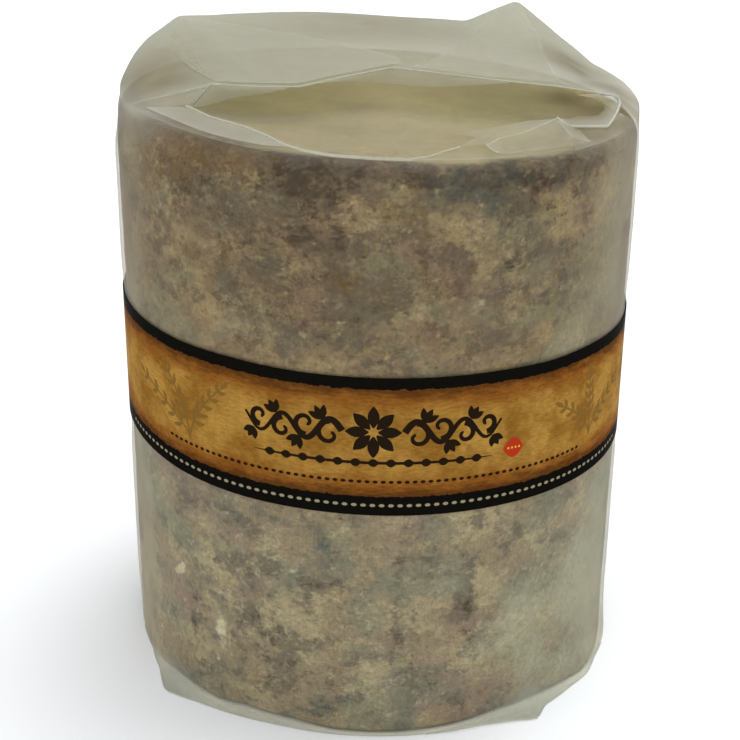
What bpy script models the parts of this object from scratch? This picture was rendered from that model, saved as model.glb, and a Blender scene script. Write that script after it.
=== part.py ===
"""Cloth bound cheddar truckle in a greaseproof paper wrap, with a printed paper band round its middle.

The object stands on its flat underside at z = 0, with the axis of the cheese on Z.
The front of the band faces -Y, and +X is to the right of someone who looks at it.
Sizes and places are in millimetres, and each mesh is made in metres.
An azimuth is in degrees round Z: 0 at the front, 90 at the right, -90 at the left, 180 behind.
"""

import math

import bmesh
import bpy
import numpy as np

MM = 0.001

# The wrapped truckle
WRAP_RADIUS = 64.0
TOP = 142.3
TOP_SLOPE = 0.045  # the top falls this much for each millimetre to the right
PAPER = 0.5
CLEAR = 0.45  # between the paper and what it touches

# The cheese
CHEESE_RADIUS = WRAP_RADIUS - PAPER - CLEAR - 0.2
CHEESE_TOP = TOP - PAPER - CLEAR - 0.2
CHEESE_FOOT = PAPER + CLEAR
CHEESE_TOP_ROUND = 4.0
CHEESE_FOOT_ROUND = 3.0
CHEESE_SIDE_ROWS = 7
CHEESE_SIDE_FROM = 14.0  # the rows of the side keep this far from both rims
CHEESE_TOP_FLAT = 0.6  # share of the radius with no row of points
CHEESE_SEGMENTS = 72
CHEESE_SWELL = 0.2  # how far the cloth bound side bulges and dips
SWELLS = [  # share of the swell, waves round the cheese, turn of the wave up the side, start
    (0.6, 3, 4.1, 0.0),
    (0.4, 7, -9.0, 1.0),
]

# The printed band
BAND_LOW = 59.6
BAND_HIGH = 93.8
BAND_SLOPE = 0.024
BAND_CARD = 0.45
BAND_LAP_FROM = 172.0
BAND_LAP = 16.0
BAND_LAP_RAMP = 24.0
BAND_STEPS = 100

# The paper's foot: azimuth and radius of the fold line on the floor, whose corners stick out
FOOT_FOLD = [
    (-180, 66.2),
    (-158, 66.6),
    (-139, 70.0),
    (-125, 67.0),
    (-105, 64.6),
    (-90, 64.0),
    (-76, 64.0),
    (-65, 64.9),
    (-56, 66.8),
    (-47.5, 70.1),
    (-36, 66.6),
    (-25, 65.8),
    (-10, 65.4),
    (3, 66.2),
    (17, 66.9),
    (35.5, 70.4),
    (42, 68.4),
    (59, 67.1),
    (70, 65.0),
    (80, 64.0),
    (100, 64.0),
    (118, 65.6),
    (138, 69.8),
    (150, 67.2),
    (165, 66.0),
]
FOOT_EAR_HEIGHT = 15.0
FOOT_EAR_CURVE = 1.3
FOOT_EAR_MIDDLE = 6.0

# The paper's shoulder: azimuth, radius and height over TOP. It lies on the rim at the front,
# and behind it is the ridge that the folded end stands up to, with a peak at each side.
SHOULDER = [
    (-180, 61.3, 7.8),
    (-161, 61.1, 9.2),
    (-147, 60.0, 10.0),
    (-133, 61.5, 10.9),
    (-119, 61.3, 12.0),
    (-107, 60.7, 9.0),
    (-95, 60.8, 5.5),
    (-82, 62.4, 2.9),
    (-61, 63.6, 2.8),
    (-50, 62.4, 2.6),
    (-25, 62.3, 1.5),
    (0, 62.3, 0.2),
    (25, 62.3, -0.9),
    (50, 62.5, -1.9),
    (70, 62.9, -2.3),
    (90, 63.6, -2.0),
    (103, 63.8, -0.6),
    (117, 62.8, 2.1),
    (130, 62.9, 6.9),
    (139, 61.8, 11.0),
    (145, 61.3, 13.7),
    (151, 62.2, 11.0),
    (158, 62.4, 7.0),
    (173, 61.6, 7.5),
]

# The mouth of the folded end: azimuth at the shoulder, then x, y and height over TOP.
# It runs from behind along the flap's free edge to the sharp fold at the left, back under
# the flap along the front panel's edge, round the soft fold at the right and back.
MOUTH = [
    (-180, 3.0, -16.2, 9.4),
    (-165, -8.6, -22.9, 8.4),
    (-147, -17.4, -29.1, 7.6),
    (-119, -26.1, -30.9, 7.9),
    (-95, -31.5, -31.0, 8.1),
    (-65, -37.0, -29.1, 8.3),
    (-61, -40.0, -28.0, 5.2),
    (-57, -42.0, -27.0, 2.4),
    (-50, -42.0, -14.0, 2.2),
    (-38, -40.0, 10.0, 2.1),
    (-20, -24.0, 32.0, 1.4),
    (0, 2.0, 40.0, 0.2),
    (20, 24.0, 36.0, -0.8),
    (36, 40.0, 24.0, -1.5),
    (48, 50.0, 10.0, -2.0),
    (58, 54.5, 1.0, -2.1),
    (66, 57.0, -6.0, -2.1),
    (72, 57.5, -11.0, -1.0),
    (76, 58.0, -14.5, 0.8),
    (80, 57.0, -15.0, 2.6),
    (92, 51.7, -18.8, 4.9),
    (145, 42.1, -20.8, 6.4),
    (158, 24.5, -21.4, 8.2),
    (170, 13.7, -18.7, 8.9),
]

# Two creases stand up from the front panel. The one at the left runs in from the rim to the
# sharp fold, and the one at the right is where the soft fold lies on the panel.
LEFT_CREASE = [
    (-57, -43.0, -28.5, 2.6),
    (-50, -39.0, -31.0, 2.5),
    (-42, -33.0, -38.0, 2.4),
    (-25, -19.0, -54.0, 1.8),
    (-10, -10.0, -59.5, 1.3),
    (6, 6.6, -61.5, 0.5),
]
RIGHT_CREASE = [
    (44, 37.0, -20.0, -0.9),
    (52, 42.0, -20.0, -0.7),
    (60, 47.5, -21.0, -0.9),
    (66, 53.0, -22.0, -1.2),
    (72, 56.5, -19.5, 0.0),
]
CREASE_STEP = 3.0  # how far inside the crease the panel lies flat again
CREASE_REACH = 0.4  # or this share of the way to the mouth, where that is less
CREASED_PARTS = (0.3, 0.55, 0.78)

# A crumple stands up from the front panel at the right
CRUMPLE_AT = (33.6, -40.0)
CRUMPLE_HEIGHT = 2.6
CRUMPLE_SPREAD = 13.0

PANEL_RISE = 0.3  # the front panel over the plane of the top
FLAT_UNDERSIDE = 34.0
SIDE_LEVELS = (57.0, 97.0, 121.0)
WALL_TOP = 6.5  # below the plane of the top
WALL_BEND = 2.2
RIDGE_FROM = 3.2  # a shoulder that is higher than this over the top belongs to the ridge
PANEL_PARTS = (0.10, 0.20, 0.34, 0.55, 0.78)
COLUMN_STEP = 4.0
LEAST_STEP = 2.0

COLOURS = {
    "mouldy_rind": (0.25, 0.21, 0.15),
    "greaseproof_paper": (0.62, 0.62, 0.52),
    "printed_card": (0.40, 0.24, 0.08),
}


def slope(x, fall=TOP_SLOPE):
    """Height that a tilted level gains at x."""
    return -fall * x


def on_circle(azimuth, radius):
    angle = math.radians(azimuth)
    return radius * math.sin(angle), -radius * math.cos(angle)


def read(table, azimuth):
    """The values of a table of azimuths at one azimuth, straight between its rows."""
    rows = np.array(table)
    return [
        float(np.interp(azimuth, rows[:, 0], rows[:, column], period=360))
        for column in range(1, rows.shape[1])
    ]


def new_object(name, mesh, material, collection):
    obj = bpy.data.objects.new(name, mesh)
    collection.objects.link(obj)
    obj.data.materials.append(material)
    for polygon in obj.data.polygons:
        polygon.use_smooth = True
    obj.data.set_sharp_from_angle(angle=math.radians(30))
    return obj


def new_material(name, roughness):
    material = bpy.data.materials.new(name)
    material.use_nodes = True
    shader = material.node_tree.nodes["Principled BSDF"]
    shader.inputs["Base Color"].default_value = (*COLOURS[name], 1)
    shader.inputs["Roughness"].default_value = roughness
    return material


def quarter_round(centre_r, centre_z, radius, start, steps=4):
    """Points of a rounded rim, from a start angle through a quarter turn downwards."""
    return [
        (
            centre_r + radius * math.cos(math.radians(start - 90 * i / steps)),
            centre_z + radius * math.sin(math.radians(start - 90 * i / steps)),
        )
        for i in range(steps + 1)
    ]


def cheese_truckle(collection, material):
    """A turned solid with rounded rims, whose side is uneven and whose top slopes."""
    side_levels = np.linspace(
        CHEESE_TOP - CHEESE_SIDE_FROM, CHEESE_FOOT + CHEESE_SIDE_FROM, CHEESE_SIDE_ROWS
    )
    profile = [(0.0, CHEESE_TOP), (CHEESE_RADIUS * CHEESE_TOP_FLAT, CHEESE_TOP)]
    profile += quarter_round(
        CHEESE_RADIUS - CHEESE_TOP_ROUND, CHEESE_TOP - CHEESE_TOP_ROUND, CHEESE_TOP_ROUND, 90
    )
    profile += [(CHEESE_RADIUS, float(z)) for z in side_levels]
    profile += quarter_round(
        CHEESE_RADIUS - CHEESE_FOOT_ROUND, CHEESE_FOOT + CHEESE_FOOT_ROUND, CHEESE_FOOT_ROUND, 0
    )
    profile.append((0.0, CHEESE_FOOT))

    outline = bpy.data.meshes.new("truckle_profile")
    outline.from_pydata(
        [(r * MM, 0, z * MM) for r, z in profile],
        [(i, i + 1) for i in range(len(profile) - 1)],
        [],
    )
    guide = bpy.data.objects.new("truckle_profile", outline)
    collection.objects.link(guide)
    screw = guide.modifiers.new("turn", "SCREW")
    screw.steps = CHEESE_SEGMENTS
    screw.render_steps = CHEESE_SEGMENTS
    screw.use_merge_vertices = True
    screw.merge_threshold = 0.00001
    bpy.context.view_layer.update()
    turned = bpy.data.meshes.new_from_object(
        guide.evaluated_get(bpy.context.evaluated_depsgraph_get())
    )
    bpy.data.objects.remove(guide)

    cheese = bmesh.new()
    cheese.from_mesh(turned)
    bmesh.ops.remove_doubles(cheese, verts=cheese.verts, dist=0.00001)
    for vertex in cheese.verts:
        settle(vertex.co)
    bmesh.ops.recalc_face_normals(cheese, faces=cheese.faces)
    cheese.to_mesh(turned)
    cheese.free()
    turned.name = "cheese_truckle"
    return new_object("cheese_truckle", turned, material, collection)


def settle(point):
    """Moves one point of the turned cheese to where the pressed and aged one has it."""
    x, y, z = point.x / MM, point.y / MM, point.z / MM
    azimuth = math.atan2(x, -y)
    up = (z - CHEESE_FOOT) / (CHEESE_TOP - CHEESE_FOOT)
    radius = math.hypot(x, y)
    if radius > CHEESE_RADIUS - CHEESE_TOP_ROUND - CLEAR:
        swell = CHEESE_SWELL * sum(
            share * math.sin(waves * azimuth + turn * up + start)
            for share, waves, turn, start in SWELLS
        )
        point.x *= 1 + swell / radius
        point.y *= 1 + swell / radius
    point.z = (z + slope(x) * max(0.0, up) ** 2) * MM


def shoulder(azimuth):
    radius, rise = read(SHOULDER, azimuth)
    return np.array([*on_circle(azimuth, radius), TOP + rise])


def mouth(azimuth):
    x, y, rise = read(MOUTH, azimuth)
    return np.array([x, y, TOP + rise])


def under_flap(azimuth):
    """True for the columns that end in the front panel, below the flap."""
    return -57 <= azimuth <= 72


def panel_height(x, y):
    off = math.hypot(x - CRUMPLE_AT[0], y - CRUMPLE_AT[1])
    crumple = CRUMPLE_HEIGHT * max(0.0, 1 - off / CRUMPLE_SPREAD)
    return TOP + slope(x) + PANEL_RISE + crumple


def folded_end(azimuth):
    """Points from the shoulder to the mouth: the flap behind, the front panel before it."""
    start, end = shoulder(azimuth), mouth(azimuth)
    points = [start + (end - start) * part for part in PANEL_PARTS]
    if not under_flap(azimuth):
        return points + [end]
    creases = [t for t in (LEFT_CREASE, RIGHT_CREASE) if t[0][0] <= azimuth <= t[-1][0]]
    if creases:
        x, y, rise = read(creases[0], azimuth)
        points[0] = np.array([x, y, TOP + rise])
        inward = (end - points[0]) / np.linalg.norm(end - points[0])
        reach = min(CREASE_STEP, CREASE_REACH * np.linalg.norm(end - points[0]))
        points[1] = points[0] + inward * reach
        for i, part in enumerate(CREASED_PARTS, start=2):
            points[i] = points[1] + (end - points[1]) * part
        flat_from = 1
    else:
        flat_from = 0
    for point in points[flat_from:]:
        point[2] = panel_height(point[0], point[1])
    return points + [end]


def wrap_column(azimuth):
    """The paper's outer face at one azimuth, from near the middle of the underside to the mouth."""
    (foot,) = read(FOOT_FOLD, azimuth)
    side = np.array([*on_circle(azimuth, WRAP_RADIUS), 0.0])
    start = shoulder(azimuth)
    plane = TOP + slope(side[0])
    column = [np.array([*on_circle(azimuth, FLAT_UNDERSIDE), 0.0])]
    column.append(np.array([*on_circle(azimuth, foot), 0.0]))
    for level in (FOOT_EAR_MIDDLE, FOOT_EAR_HEIGHT):
        ear = (foot - WRAP_RADIUS) * (1 - level / FOOT_EAR_HEIGHT) ** FOOT_EAR_CURVE
        column.append(np.array([*on_circle(azimuth, WRAP_RADIUS + ear), level]))
    column += [side + (0, 0, level) for level in SIDE_LEVELS]
    wall_top = side + (0, 0, plane - WALL_TOP)
    column.append(wall_top)
    stands_up = start[2] - plane > RIDGE_FROM
    bend = side + (0, 0, plane - WALL_BEND)
    column.append((wall_top + start) / 2 if stands_up else bend)
    column.append(start)
    return column + folded_end(azimuth)


def column_azimuths():
    """Every azimuth that a fold needs, and even steps between them."""
    folds = {row[0] for table in (FOOT_FOLD, SHOULDER, MOUTH) for row in table}
    folds |= {row[0] for table in (LEFT_CREASE, RIGHT_CREASE) for row in table}
    kept = []
    for azimuth in sorted(folds):
        if not kept or azimuth - kept[-1] >= LEAST_STEP:
            kept.append(float(azimuth))
    filled = []
    for here, after in zip(kept, kept[1:] + [kept[0] + 360]):
        parts = max(1, round((after - here) / COLUMN_STEP))
        filled += [here + (after - here) * i / parts for i in range(parts)]
    return filled


def paper_wrap(collection, material):
    """One sheet: a tube round the cheese, closed below and folded over the top to a mouth."""
    columns = [wrap_column(azimuth) for azimuth in column_azimuths()]
    rows = len(columns[0])
    sheet = bmesh.new()
    middle = sheet.verts.new((0, 0, 0))
    grid = [[sheet.verts.new(point * MM) for point in column] for column in columns]
    for here, after in zip(grid, grid[1:] + grid[:1]):
        sheet.faces.new((middle, after[0], here[0]))
        for row in range(rows - 1):
            sheet.faces.new((here[row], after[row], after[row + 1], here[row + 1]))
    bmesh.ops.triangulate(sheet, faces=sheet.faces)
    mesh = bpy.data.meshes.new("paper_wrap")
    sheet.to_mesh(mesh)
    sheet.free()
    wrap = new_object("paper_wrap", mesh, material, collection)
    wall = wrap.modifiers.new("paper_thickness", "SOLIDIFY")
    wall.thickness = PAPER * MM
    wall.offset = -1
    return wrap


def label_band(collection, material):
    """A card strip round the wrap, whose last stretch lies over its first one behind."""
    turn = 360 + BAND_LAP
    corners = [(0, BAND_LOW), (BAND_CARD, BAND_LOW), (BAND_CARD, BAND_HIGH), (0, BAND_HIGH)]
    sections = []
    for step in range(BAND_STEPS + 1):
        along = turn * step / BAND_STEPS
        ramp = min(1.0, max(0.0, (along - (turn - BAND_LAP - BAND_LAP_RAMP)) / BAND_LAP_RAMP))
        lift = (BAND_CARD + CLEAR) * ramp * ramp * (3 - 2 * ramp)
        section = []
        for depth, level in corners:
            x, y = on_circle(BAND_LAP_FROM + along, WRAP_RADIUS + CLEAR + lift + depth)
            section.append((x * MM, y * MM, (level + slope(x, BAND_SLOPE)) * MM))
        sections.append(section)
    strip = bmesh.new()
    loops = [[strip.verts.new(point) for point in section] for section in sections]
    for here, after in zip(loops, loops[1:]):
        for i in range(4):
            strip.faces.new((here[i], here[(i + 1) % 4], after[(i + 1) % 4], after[i]))
    strip.faces.new(loops[0][::-1])
    strip.faces.new(loops[-1])
    bmesh.ops.recalc_face_normals(strip, faces=strip.faces)
    mesh = bpy.data.meshes.new("label_band")
    strip.to_mesh(mesh)
    strip.free()
    return new_object("label_band", mesh, material, collection)


def main():
    for obj in list(bpy.data.objects):
        bpy.data.objects.remove(obj)
    truckle = bpy.data.collections.new("cloth_bound_cheddar_truckle")
    bpy.context.scene.collection.children.link(truckle)
    cheese_truckle(truckle, new_material("mouldy_rind", 0.85))
    paper_wrap(truckle, new_material("greaseproof_paper", 0.4))
    label_band(truckle, new_material("printed_card", 0.5))


main()
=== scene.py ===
"""Looks of a cloth bound cheddar truckle in a greaseproof wrap with a printed band.

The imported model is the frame, and every piece here lies where that model has it.
Sizes and places are in millimetres, and each mesh is made in metres.
An azimuth is in degrees round Z: 0 at the front, 90 at the right, -90 at the left, 180 behind.
"""

import math

import bmesh
import bpy
import numpy as np
from mathutils import Matrix, Vector, noise
from mathutils.bvhtree import BVHTree


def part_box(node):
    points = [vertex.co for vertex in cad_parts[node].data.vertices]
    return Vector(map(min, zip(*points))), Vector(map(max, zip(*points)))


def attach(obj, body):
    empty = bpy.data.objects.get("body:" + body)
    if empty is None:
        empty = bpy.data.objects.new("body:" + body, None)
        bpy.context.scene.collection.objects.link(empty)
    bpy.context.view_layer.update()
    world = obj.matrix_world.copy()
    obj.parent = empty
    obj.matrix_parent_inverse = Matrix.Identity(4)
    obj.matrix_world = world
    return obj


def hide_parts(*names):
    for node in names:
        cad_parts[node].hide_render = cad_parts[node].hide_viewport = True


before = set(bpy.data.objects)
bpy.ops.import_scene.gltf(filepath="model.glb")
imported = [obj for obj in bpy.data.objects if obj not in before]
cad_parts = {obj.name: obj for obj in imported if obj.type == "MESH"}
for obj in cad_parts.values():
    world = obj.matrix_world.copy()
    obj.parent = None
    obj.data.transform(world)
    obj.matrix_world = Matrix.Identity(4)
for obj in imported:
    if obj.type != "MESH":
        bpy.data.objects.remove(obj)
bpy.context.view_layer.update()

MM = 0.001

# The wrapped truckle, as the model has it
WRAP_RADIUS = 64.0
RIND_PROUD = 0.35  # the cloth stands out from the solid cheese by this
RIND_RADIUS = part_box("cheese_truckle")[1].x / MM + RIND_PROUD
TOP = 142.3
TOP_SLOPE = 0.045  # the top falls this much for each millimetre to the right
RIND_TOP = 141.15
RIND_FOOT = 0.3
RIND_TOP_ROUND = 4.0
RIND_FOOT_ROUND = 1.2
# Azimuth, then how far the foot has settled outwards under the cheese's weight
FOOT_BULGES = [
    (-78, 0), (-58, 1.0), (-50, 0.2), (-36, 0.8), (-30, -0.8), (-18, -0.8), (-8, 1.0), (5, 1.3),
    (14, 1.0), (22, 0.4), (28, -0.5), (36, -0.3), (44, 0.6), (51, 1.8), (56, 3.0), (62, 2.6),
    (70, 1.2), (80, 0), (180, 0),
]
FOOT_BULGE_HEIGHT = 12.0
PANEL_RISE = 0.15

# The printed band
BAND_SLOPE = 0.024
BAND_WIDTH = 34.2
BAND_INNER = WRAP_RADIUS - 0.02
BAND_CARD = 0.14
BAND_LAP_FROM = 172.0
BAND_LAP = 16.0
BAND_LAP_RAMP = 24.0
BAND_LAP_LIFT = 0.3
PRINT_PROUD = 0.03
BAND_STEPS = 300
BAND_ROWS = 31
# Azimuth, then heights of its lower and upper edge, which waver as it was put on by hand
BAND_EDGES = [
    (-180, 59.7, 93.5), (-70, 60.8, 93.7), (-57, 60.4, 93.7), (-45, 59.9, 93.6), (-30, 59.7, 93.9),
    (-15, 59.8, 93.7), (5, 59.7, 93.7), (26, 59.7, 93.8), (40, 59.6, 93.4), (50, 59.5, 93.6),
    (62, 59.4, 93.2), (75, 59.5, 92.8), (110, 59.6, 93.3),
]

# The paper's foot: azimuth and radius of the fold line on the floor, whose corners stick out
FOOT_FOLD = [
    (-180, 66.2), (-158, 66.6), (-139, 70.0), (-125, 67.0), (-105, 64.6), (-90, 64.0), (-76, 63.8),
    (-64, 64.3), (-55, 66.6), (-47.5, 70.6), (-39, 67.9), (-30, 66.6), (-21, 65.6), (0, 65.6),
    (12, 65.9), (24, 66.3), (31, 68.2), (35.5, 71.2), (40, 68.0), (49, 67.3), (56, 67.6),
    (63, 66.2), (70, 65.8), (80, 64.8), (90, 64.1), (100, 64.0), (118, 65.6), (138, 69.8),
    (150, 67.2), (165, 66.0),
]
FOOT_EAR_HEIGHT = 15.0
# Azimuth, then how sharply the sheet bends out to the fold line
FOOT_EAR_CURVES = [
    (-100, 1.3), (-60, 1.3), (-47, 1.7), (-34, 3.0), (-22, 2.4), (0, 1.3), (14, 1.5), (24, 2.4),
    (35, 1.8), (50, 1.3),
]

# The paper's shoulder: azimuth, radius and height over TOP
SHOULDER = [
    (-180, 61.3, 7.8), (-161, 61.2, 9.2), (-147, 60.6, 10.0), (-133, 61.3, 10.8),
    (-122, 61.5, 12.2), (-114, 60.6, 10.6), (-107, 60.9, 9.2), (-95, 61.0, 6.3), (-82, 61.7, 2.9),
    (-61, 63.2, 2.7), (-50, 62.6, 2.3), (-25, 62.9, 0.8), (0, 62.9, -0.5), (25, 62.8, -1.5),
    (50, 62.7, -2.2), (70, 62.9, -2.4), (90, 63.9, -1.4), (103, 64.0, 0.0), (117, 62.8, 1.8),
    (129, 62.1, 6.8), (137, 61.6, 11.2), (142.5, 61.5, 14.4), (149, 62.2, 11.4), (157, 62.4, 7.2),
    (173, 61.6, 7.4),
]

# The mouth of the folded end: azimuth at the shoulder, then x, y and height over TOP.
# It follows the flap's free edge, the sharp fold at the left, the front panel's hidden edge
# under the flap, and the soft fold at the right.
MOUTH = [
    (-180, 3.0, -16.2, 9.4), (-165, -8.6, -22.9, 8.4), (-147, -17.4, -29.1, 7.6),
    (-119, -26.1, -30.9, 7.9), (-95, -31.5, -31.0, 8.1), (-65, -37.0, -29.1, 8.3),
    (-61, -40.0, -28.0, 5.2), (-57, -42.0, -27.0, 2.4), (-50, -42.0, -14.0, 2.2),
    (-38, -40.0, 10.0, 2.1), (-20, -24.0, 32.0, 1.4), (0, 2.0, 40.0, 0.2), (20, 24.0, 36.0, -0.8),
    (36, 40.0, 24.0, -1.5), (48, 50.0, 10.0, -2.0), (58, 54.5, 1.0, -2.1), (66, 56.5, -4.0, -2.1),
    (72, 57.0, -9.5, -1.2), (76, 57.6, -12.5, 0.6), (80, 56.8, -12.6, 2.0), (86, 55.0, -14.6, 3.2),
    (92, 51.7, -19.3, 4.7), (145, 42.1, -20.8, 6.4), (158, 24.5, -21.4, 8.2),
    (170, 13.7, -18.7, 8.9),
]
FRONT_FROM = -57  # the columns of the sheet from here to there end under the flap
FRONT_TO = 72
LEFT_CREASE = [
    (-57, -43.0, -30.6, 2.9), (-50, -40.4, -33.6, 2.6), (-43.5, -36.6, -38.7, 2.3),
    (-37, -31.8, -42.6, 2.1), (-32, -28.3, -45.6, 1.9), (-24.5, -23.3, -51.3, 1.5),
    (-19.5, -19.9, -56.2, 1.1), (-14, -14.9, -60.1, 0.7), (-8.5, -9.3, -61.9, 0.3),
    (0, -0.5, -62.5, -0.1), (7, 7.4, -62.2, -0.3),
]
RIGHT_CREASE = [
    (44, 43.2, -24.5, -1.3), (52, 47.0, -25.0, -1.2), (60, 51.0, -25.0, -1.2),
    (66, 54.3, -23.0, -1.2), (72, 56.8, -17.0, -0.4),
]
CREASE_STEP = 3.0
CREASE_REACH = 0.4

# The crumple at the right of the front panel: x, y, height over TOP and milk of each corner,
# its facets by their corners' names, and the creases between them that catch the light
CRUMPLE = {
    "a": (7.2, -62.0, 0.2, 0.0), "b": (10.9, -59.7, 0.1, 0.0), "c": (14.0, -55.4, 0.0, 0.1),
    "d": (17.8, -50.8, -0.1, 0.1), "e": (23.5, -48.9, 0.0, 0.15), "f": (21.7, -42.9, 0.0, 0.15),
    "g": (26.8, -44.7, 0.4, 0.3), "h": (31.5, -42.6, 0.8, 0.4), "i": (37.0, -35.9, 1.2, 0.45),
    "j": (40.4, -31.0, 1.4, 0.5), "k": (34.2, -29.9, 0.6, 0.25), "l": (27.8, -30.6, -0.5, 0.0),
    "m": (42.9, -43.3, 0.2, 0.3), "n": (47.1, -41.9, -1.0, 0.2), "o": (40.5, -47.2, -0.8, 0.1),
    "p": (34.0, -51.9, -0.5, 0.1), "q": (27.6, -55.4, -0.3, 0.15), "r": (25.4, -56.4, 0.2, 0.3),
    "s": (23.5, -52.4, 0.5, 0.3), "t": (18.0, -38.0, -0.5, 0.0), "u": (45.5, -27.0, -1.4, 0.0),
}
CRUMPLE_FACETS = ("ftlg", "glkh", "hkji", "fde", "feg", "egs", "gqrs", "gpq", "ghp", "hop",
                  "hio", "imo", "ijm", "mno", "jum", "umn")
CRUMPLE_CREASES = ("ghij", "jm", "abcd", "gsr")

# The pleat of doubled paper below the left crease, as corners seen in plan
PLEAT = [
    (-52.0, -31.6), (-47.0, -31.0), (-43.0, -31.3), (-41.0, -33.0), (-36.3, -38.6), (-31.5, -42.1),
    (-27.5, -45.5), (-22.9, -50.4), (-19.4, -55.2), (-15.4, -58.9), (-18.3, -57.6), (-24.1, -56.3),
    (-30.2, -53.3), (-34.6, -50.5), (-38.7, -47.0), (-42.6, -42.9), (-47.8, -37.0),
]
PLEAT_MILK = 0.74
# The flap's hem, turned in at its right end: outer and inner edges
HEM_OUTER = [
    (41.2, -26.0, 0.4), (42.5, -27.4, -0.4), (43.8, -29.4, -0.8), (48.5, -28.4, -1.0),
    (52.5, -27.8, -1.1), (54.6, -22.2, -0.6), (56.1, -17.8, 0.0), (57.3, -13.7, 1.2),
    (56.9, -12.9, 2.2), (55.6, -13.4, 3.0), (52.4, -14.2, 3.4),
]
HEM_INNER = [
    (42.7, -22.7, -0.6), (44.7, -21.8, -0.8), (46.9, -18.8, -0.8), (49.5, -20.5, -0.6),
    (51.7, -19.3, -0.4), (53.3, -16.3, 0.1), (53.6, -13.1, 1.0), (52.2, -12.5, 1.8),
    (49.8, -13.1, 2.4), (46.3, -15.6, 3.4),
]
# The lining that hangs under the flap's free edge, in two stretches: upper and lower edges
LINING_LEFT = (
    [(-41.0, -27.0, 3.6), (-37.0, -28.4, 7.9), (-31.5, -30.2, 7.8), (-26.1, -30.2, 7.6),
     (-20.5, -28.9, 7.4)],
    [(-41.7, -26.4, 1.9), (-39.3, -26.4, 2.4), (-33.6, -26.4, 4.1), (-28.9, -26.6, 4.9),
     (-24.4, -27.0, 5.7), (-20.7, -28.0, 6.8)],
)
LINING_RIGHT = (
    [(-13.4, -25.6, 7.9), (-8.6, -22.3, 8.1), (-3.0, -19.2, 8.6), (3.0, -15.8, 9.1),
     (8.0, -17.0, 8.9), (13.7, -18.2, 8.6), (24.5, -20.8, 7.9), (30.5, -20.9, 7.4)],
    [(-13.1, -24.8, 7.5), (-9.8, -21.0, 7.0), (-2.9, -17.0, 6.1), (0.6, -15.5, 5.7),
     (5.3, -15.5, 5.5), (9.9, -17.0, 5.4), (14.5, -18.0, 5.5), (23.7, -20.0, 6.5),
     (30.3, -20.7, 7.1)],
)
# The second fold at the foot's right corner: its lower and upper edges, heights over TOP
FOOT_TUCK_LOW = [
    (13.4, -65.2, 0.3 - TOP), (19.7, -63.9, 0.3 - TOP), (27.5, -61.2, 0.3 - TOP),
    (36.6, -59.0, 0.3 - TOP), (41.3, -58.2, 0.3 - TOP),
]
FOOT_TUCK_HIGH = [
    (13.3, -65.6, 0.8 - TOP), (18.7, -64.0, 1.5 - TOP), (25.6, -61.4, 1.5 - TOP),
    (31.9, -59.3, 1.6 - TOP), (39.5, -57.3, 1.7 - TOP), (41.0, -58.0, 1.0 - TOP),
]
# The fold that runs from the flap's left tip down to the side, by its azimuth
TIP_FOLD = -64
# The fold at the left corner of the mouth, from the flap down to the front panel
CORNER_FOLD = [(-37.3, -29.5, 8.2), (-40.1, -28.5, 5.2), (-42.0, -27.8, 3.0)]

# Rows of the sheet from the floor to the mouth
SHEET_COLUMNS = 360
UNDERSIDE_RINGS = (16, 32, 46, 56, 62)
EAR_ROWS = 12
SIDE_ROWS = 40
BEND_ROWS = 8
RUN_IN_ROWS = 8
STEP_ROWS = 4
PANEL_ROWS = 14
WALL_TOP = 6.5
WALL_BEND = 2.2
RIDGE_FROM = 3.2
SHEET_INSET = 0.2  # the one thin sheet lies inside the solid wall that stands for it
SHEET_LOOSE = 0.3  # and it stands out by this where the band doesn't press on it
# Heights between which the sheet is loose, pressed by the band, wrinkled, and drawn in at the rim
LOOSE_HEIGHTS = (6, 18, TOP - 12, TOP - 4)
BAND_PRESS = (50, 59, 94, 104)
WRINKLE_HEIGHTS = (4, 20, TOP - 14, TOP - 4)
RIM_HEIGHTS = (TOP - 12, TOP - 3, TOP + 0.5, TOP + 3)
RIM_DRAWN_IN = 0.9

# How much of the light the sheet catches, by its distance from the cheese behind it
MILK_GAPS = (0.0, 0.8, 1.6, 3.0, 5.0, 8.0, 14.0)
MILK_SHARES = (0.05, 0.06, 0.09, 0.34, 0.62, 0.80, 0.84)
WALL_MILK = 0.94  # of the wall behind the flap, where the paper is gathered in folds
# Where that wall begins: its heights, radii and depths
WALL_HEIGHTS = (TOP - 2, TOP + 3)
WALL_RADII = (54, 60)
WALL_DEPTHS = (0, 20)
TOP_FOLDS_FROM = (TOP - 8, TOP - 2)  # the heights between which the side turns into the top
# Where the paper is gathered in several layers, by its height over the cheese; there its pulp
# is painted darker, as painted shade
LAYER_GAPS = (2.0, 7.0)
# Places in plan, each with a radius and a strength: where the paper is brown from the rind
# under it, and where it is raised and so milkier
STAINED = [((-57, -7), 14, 0.75), ((-51, -17), 8, 0.8), ((48, 5), 9, 1.0), ((57, -4), 9, 1.0),
           ((61, -13), 7, 1.0), ((50, 12), 8, 0.9), ((0, 52), 30, 0.4)]
STAIN_MILK = 0.5
STAIN_RAGGED = 0.35
RAISED = [((-1, -13), 15, 0.25), ((-62, 0), 22, 0.75),
          ((-50, 30), 22, 0.75), ((-47, -29), 7, 0.60)]
# Places on the side where the paper isn't pressed on, and where its added milk also paints the
# grazing sheen at both silhouettes: azimuth, height, half sizes, milk
PUFFED_AND_PAINTED_SHEEN = [(66, 22, 20, 46, 0.14), (-66, 34, 12, 60, 0.10), (66, 108, 14, 40, 0.12)]

WRINKLES = 0.12
COCKLE_SIZE = 16.0
CRACKLE_SIZE = 4.5
CRACKLE_STRETCH = 0.3  # the finer wrinkles run upwards
RIM_STEP = 0.8

PAPER_COLOUR = "#E0E1D8"
# Painted shade: the pulp's darker colour where the paper is gathered in layers
PAPER_LAYERED_SHADE = "#D6D8CE"
PAPER_STAINED = "#ABA38A"
PAPER_THROUGH = 0.7
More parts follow.
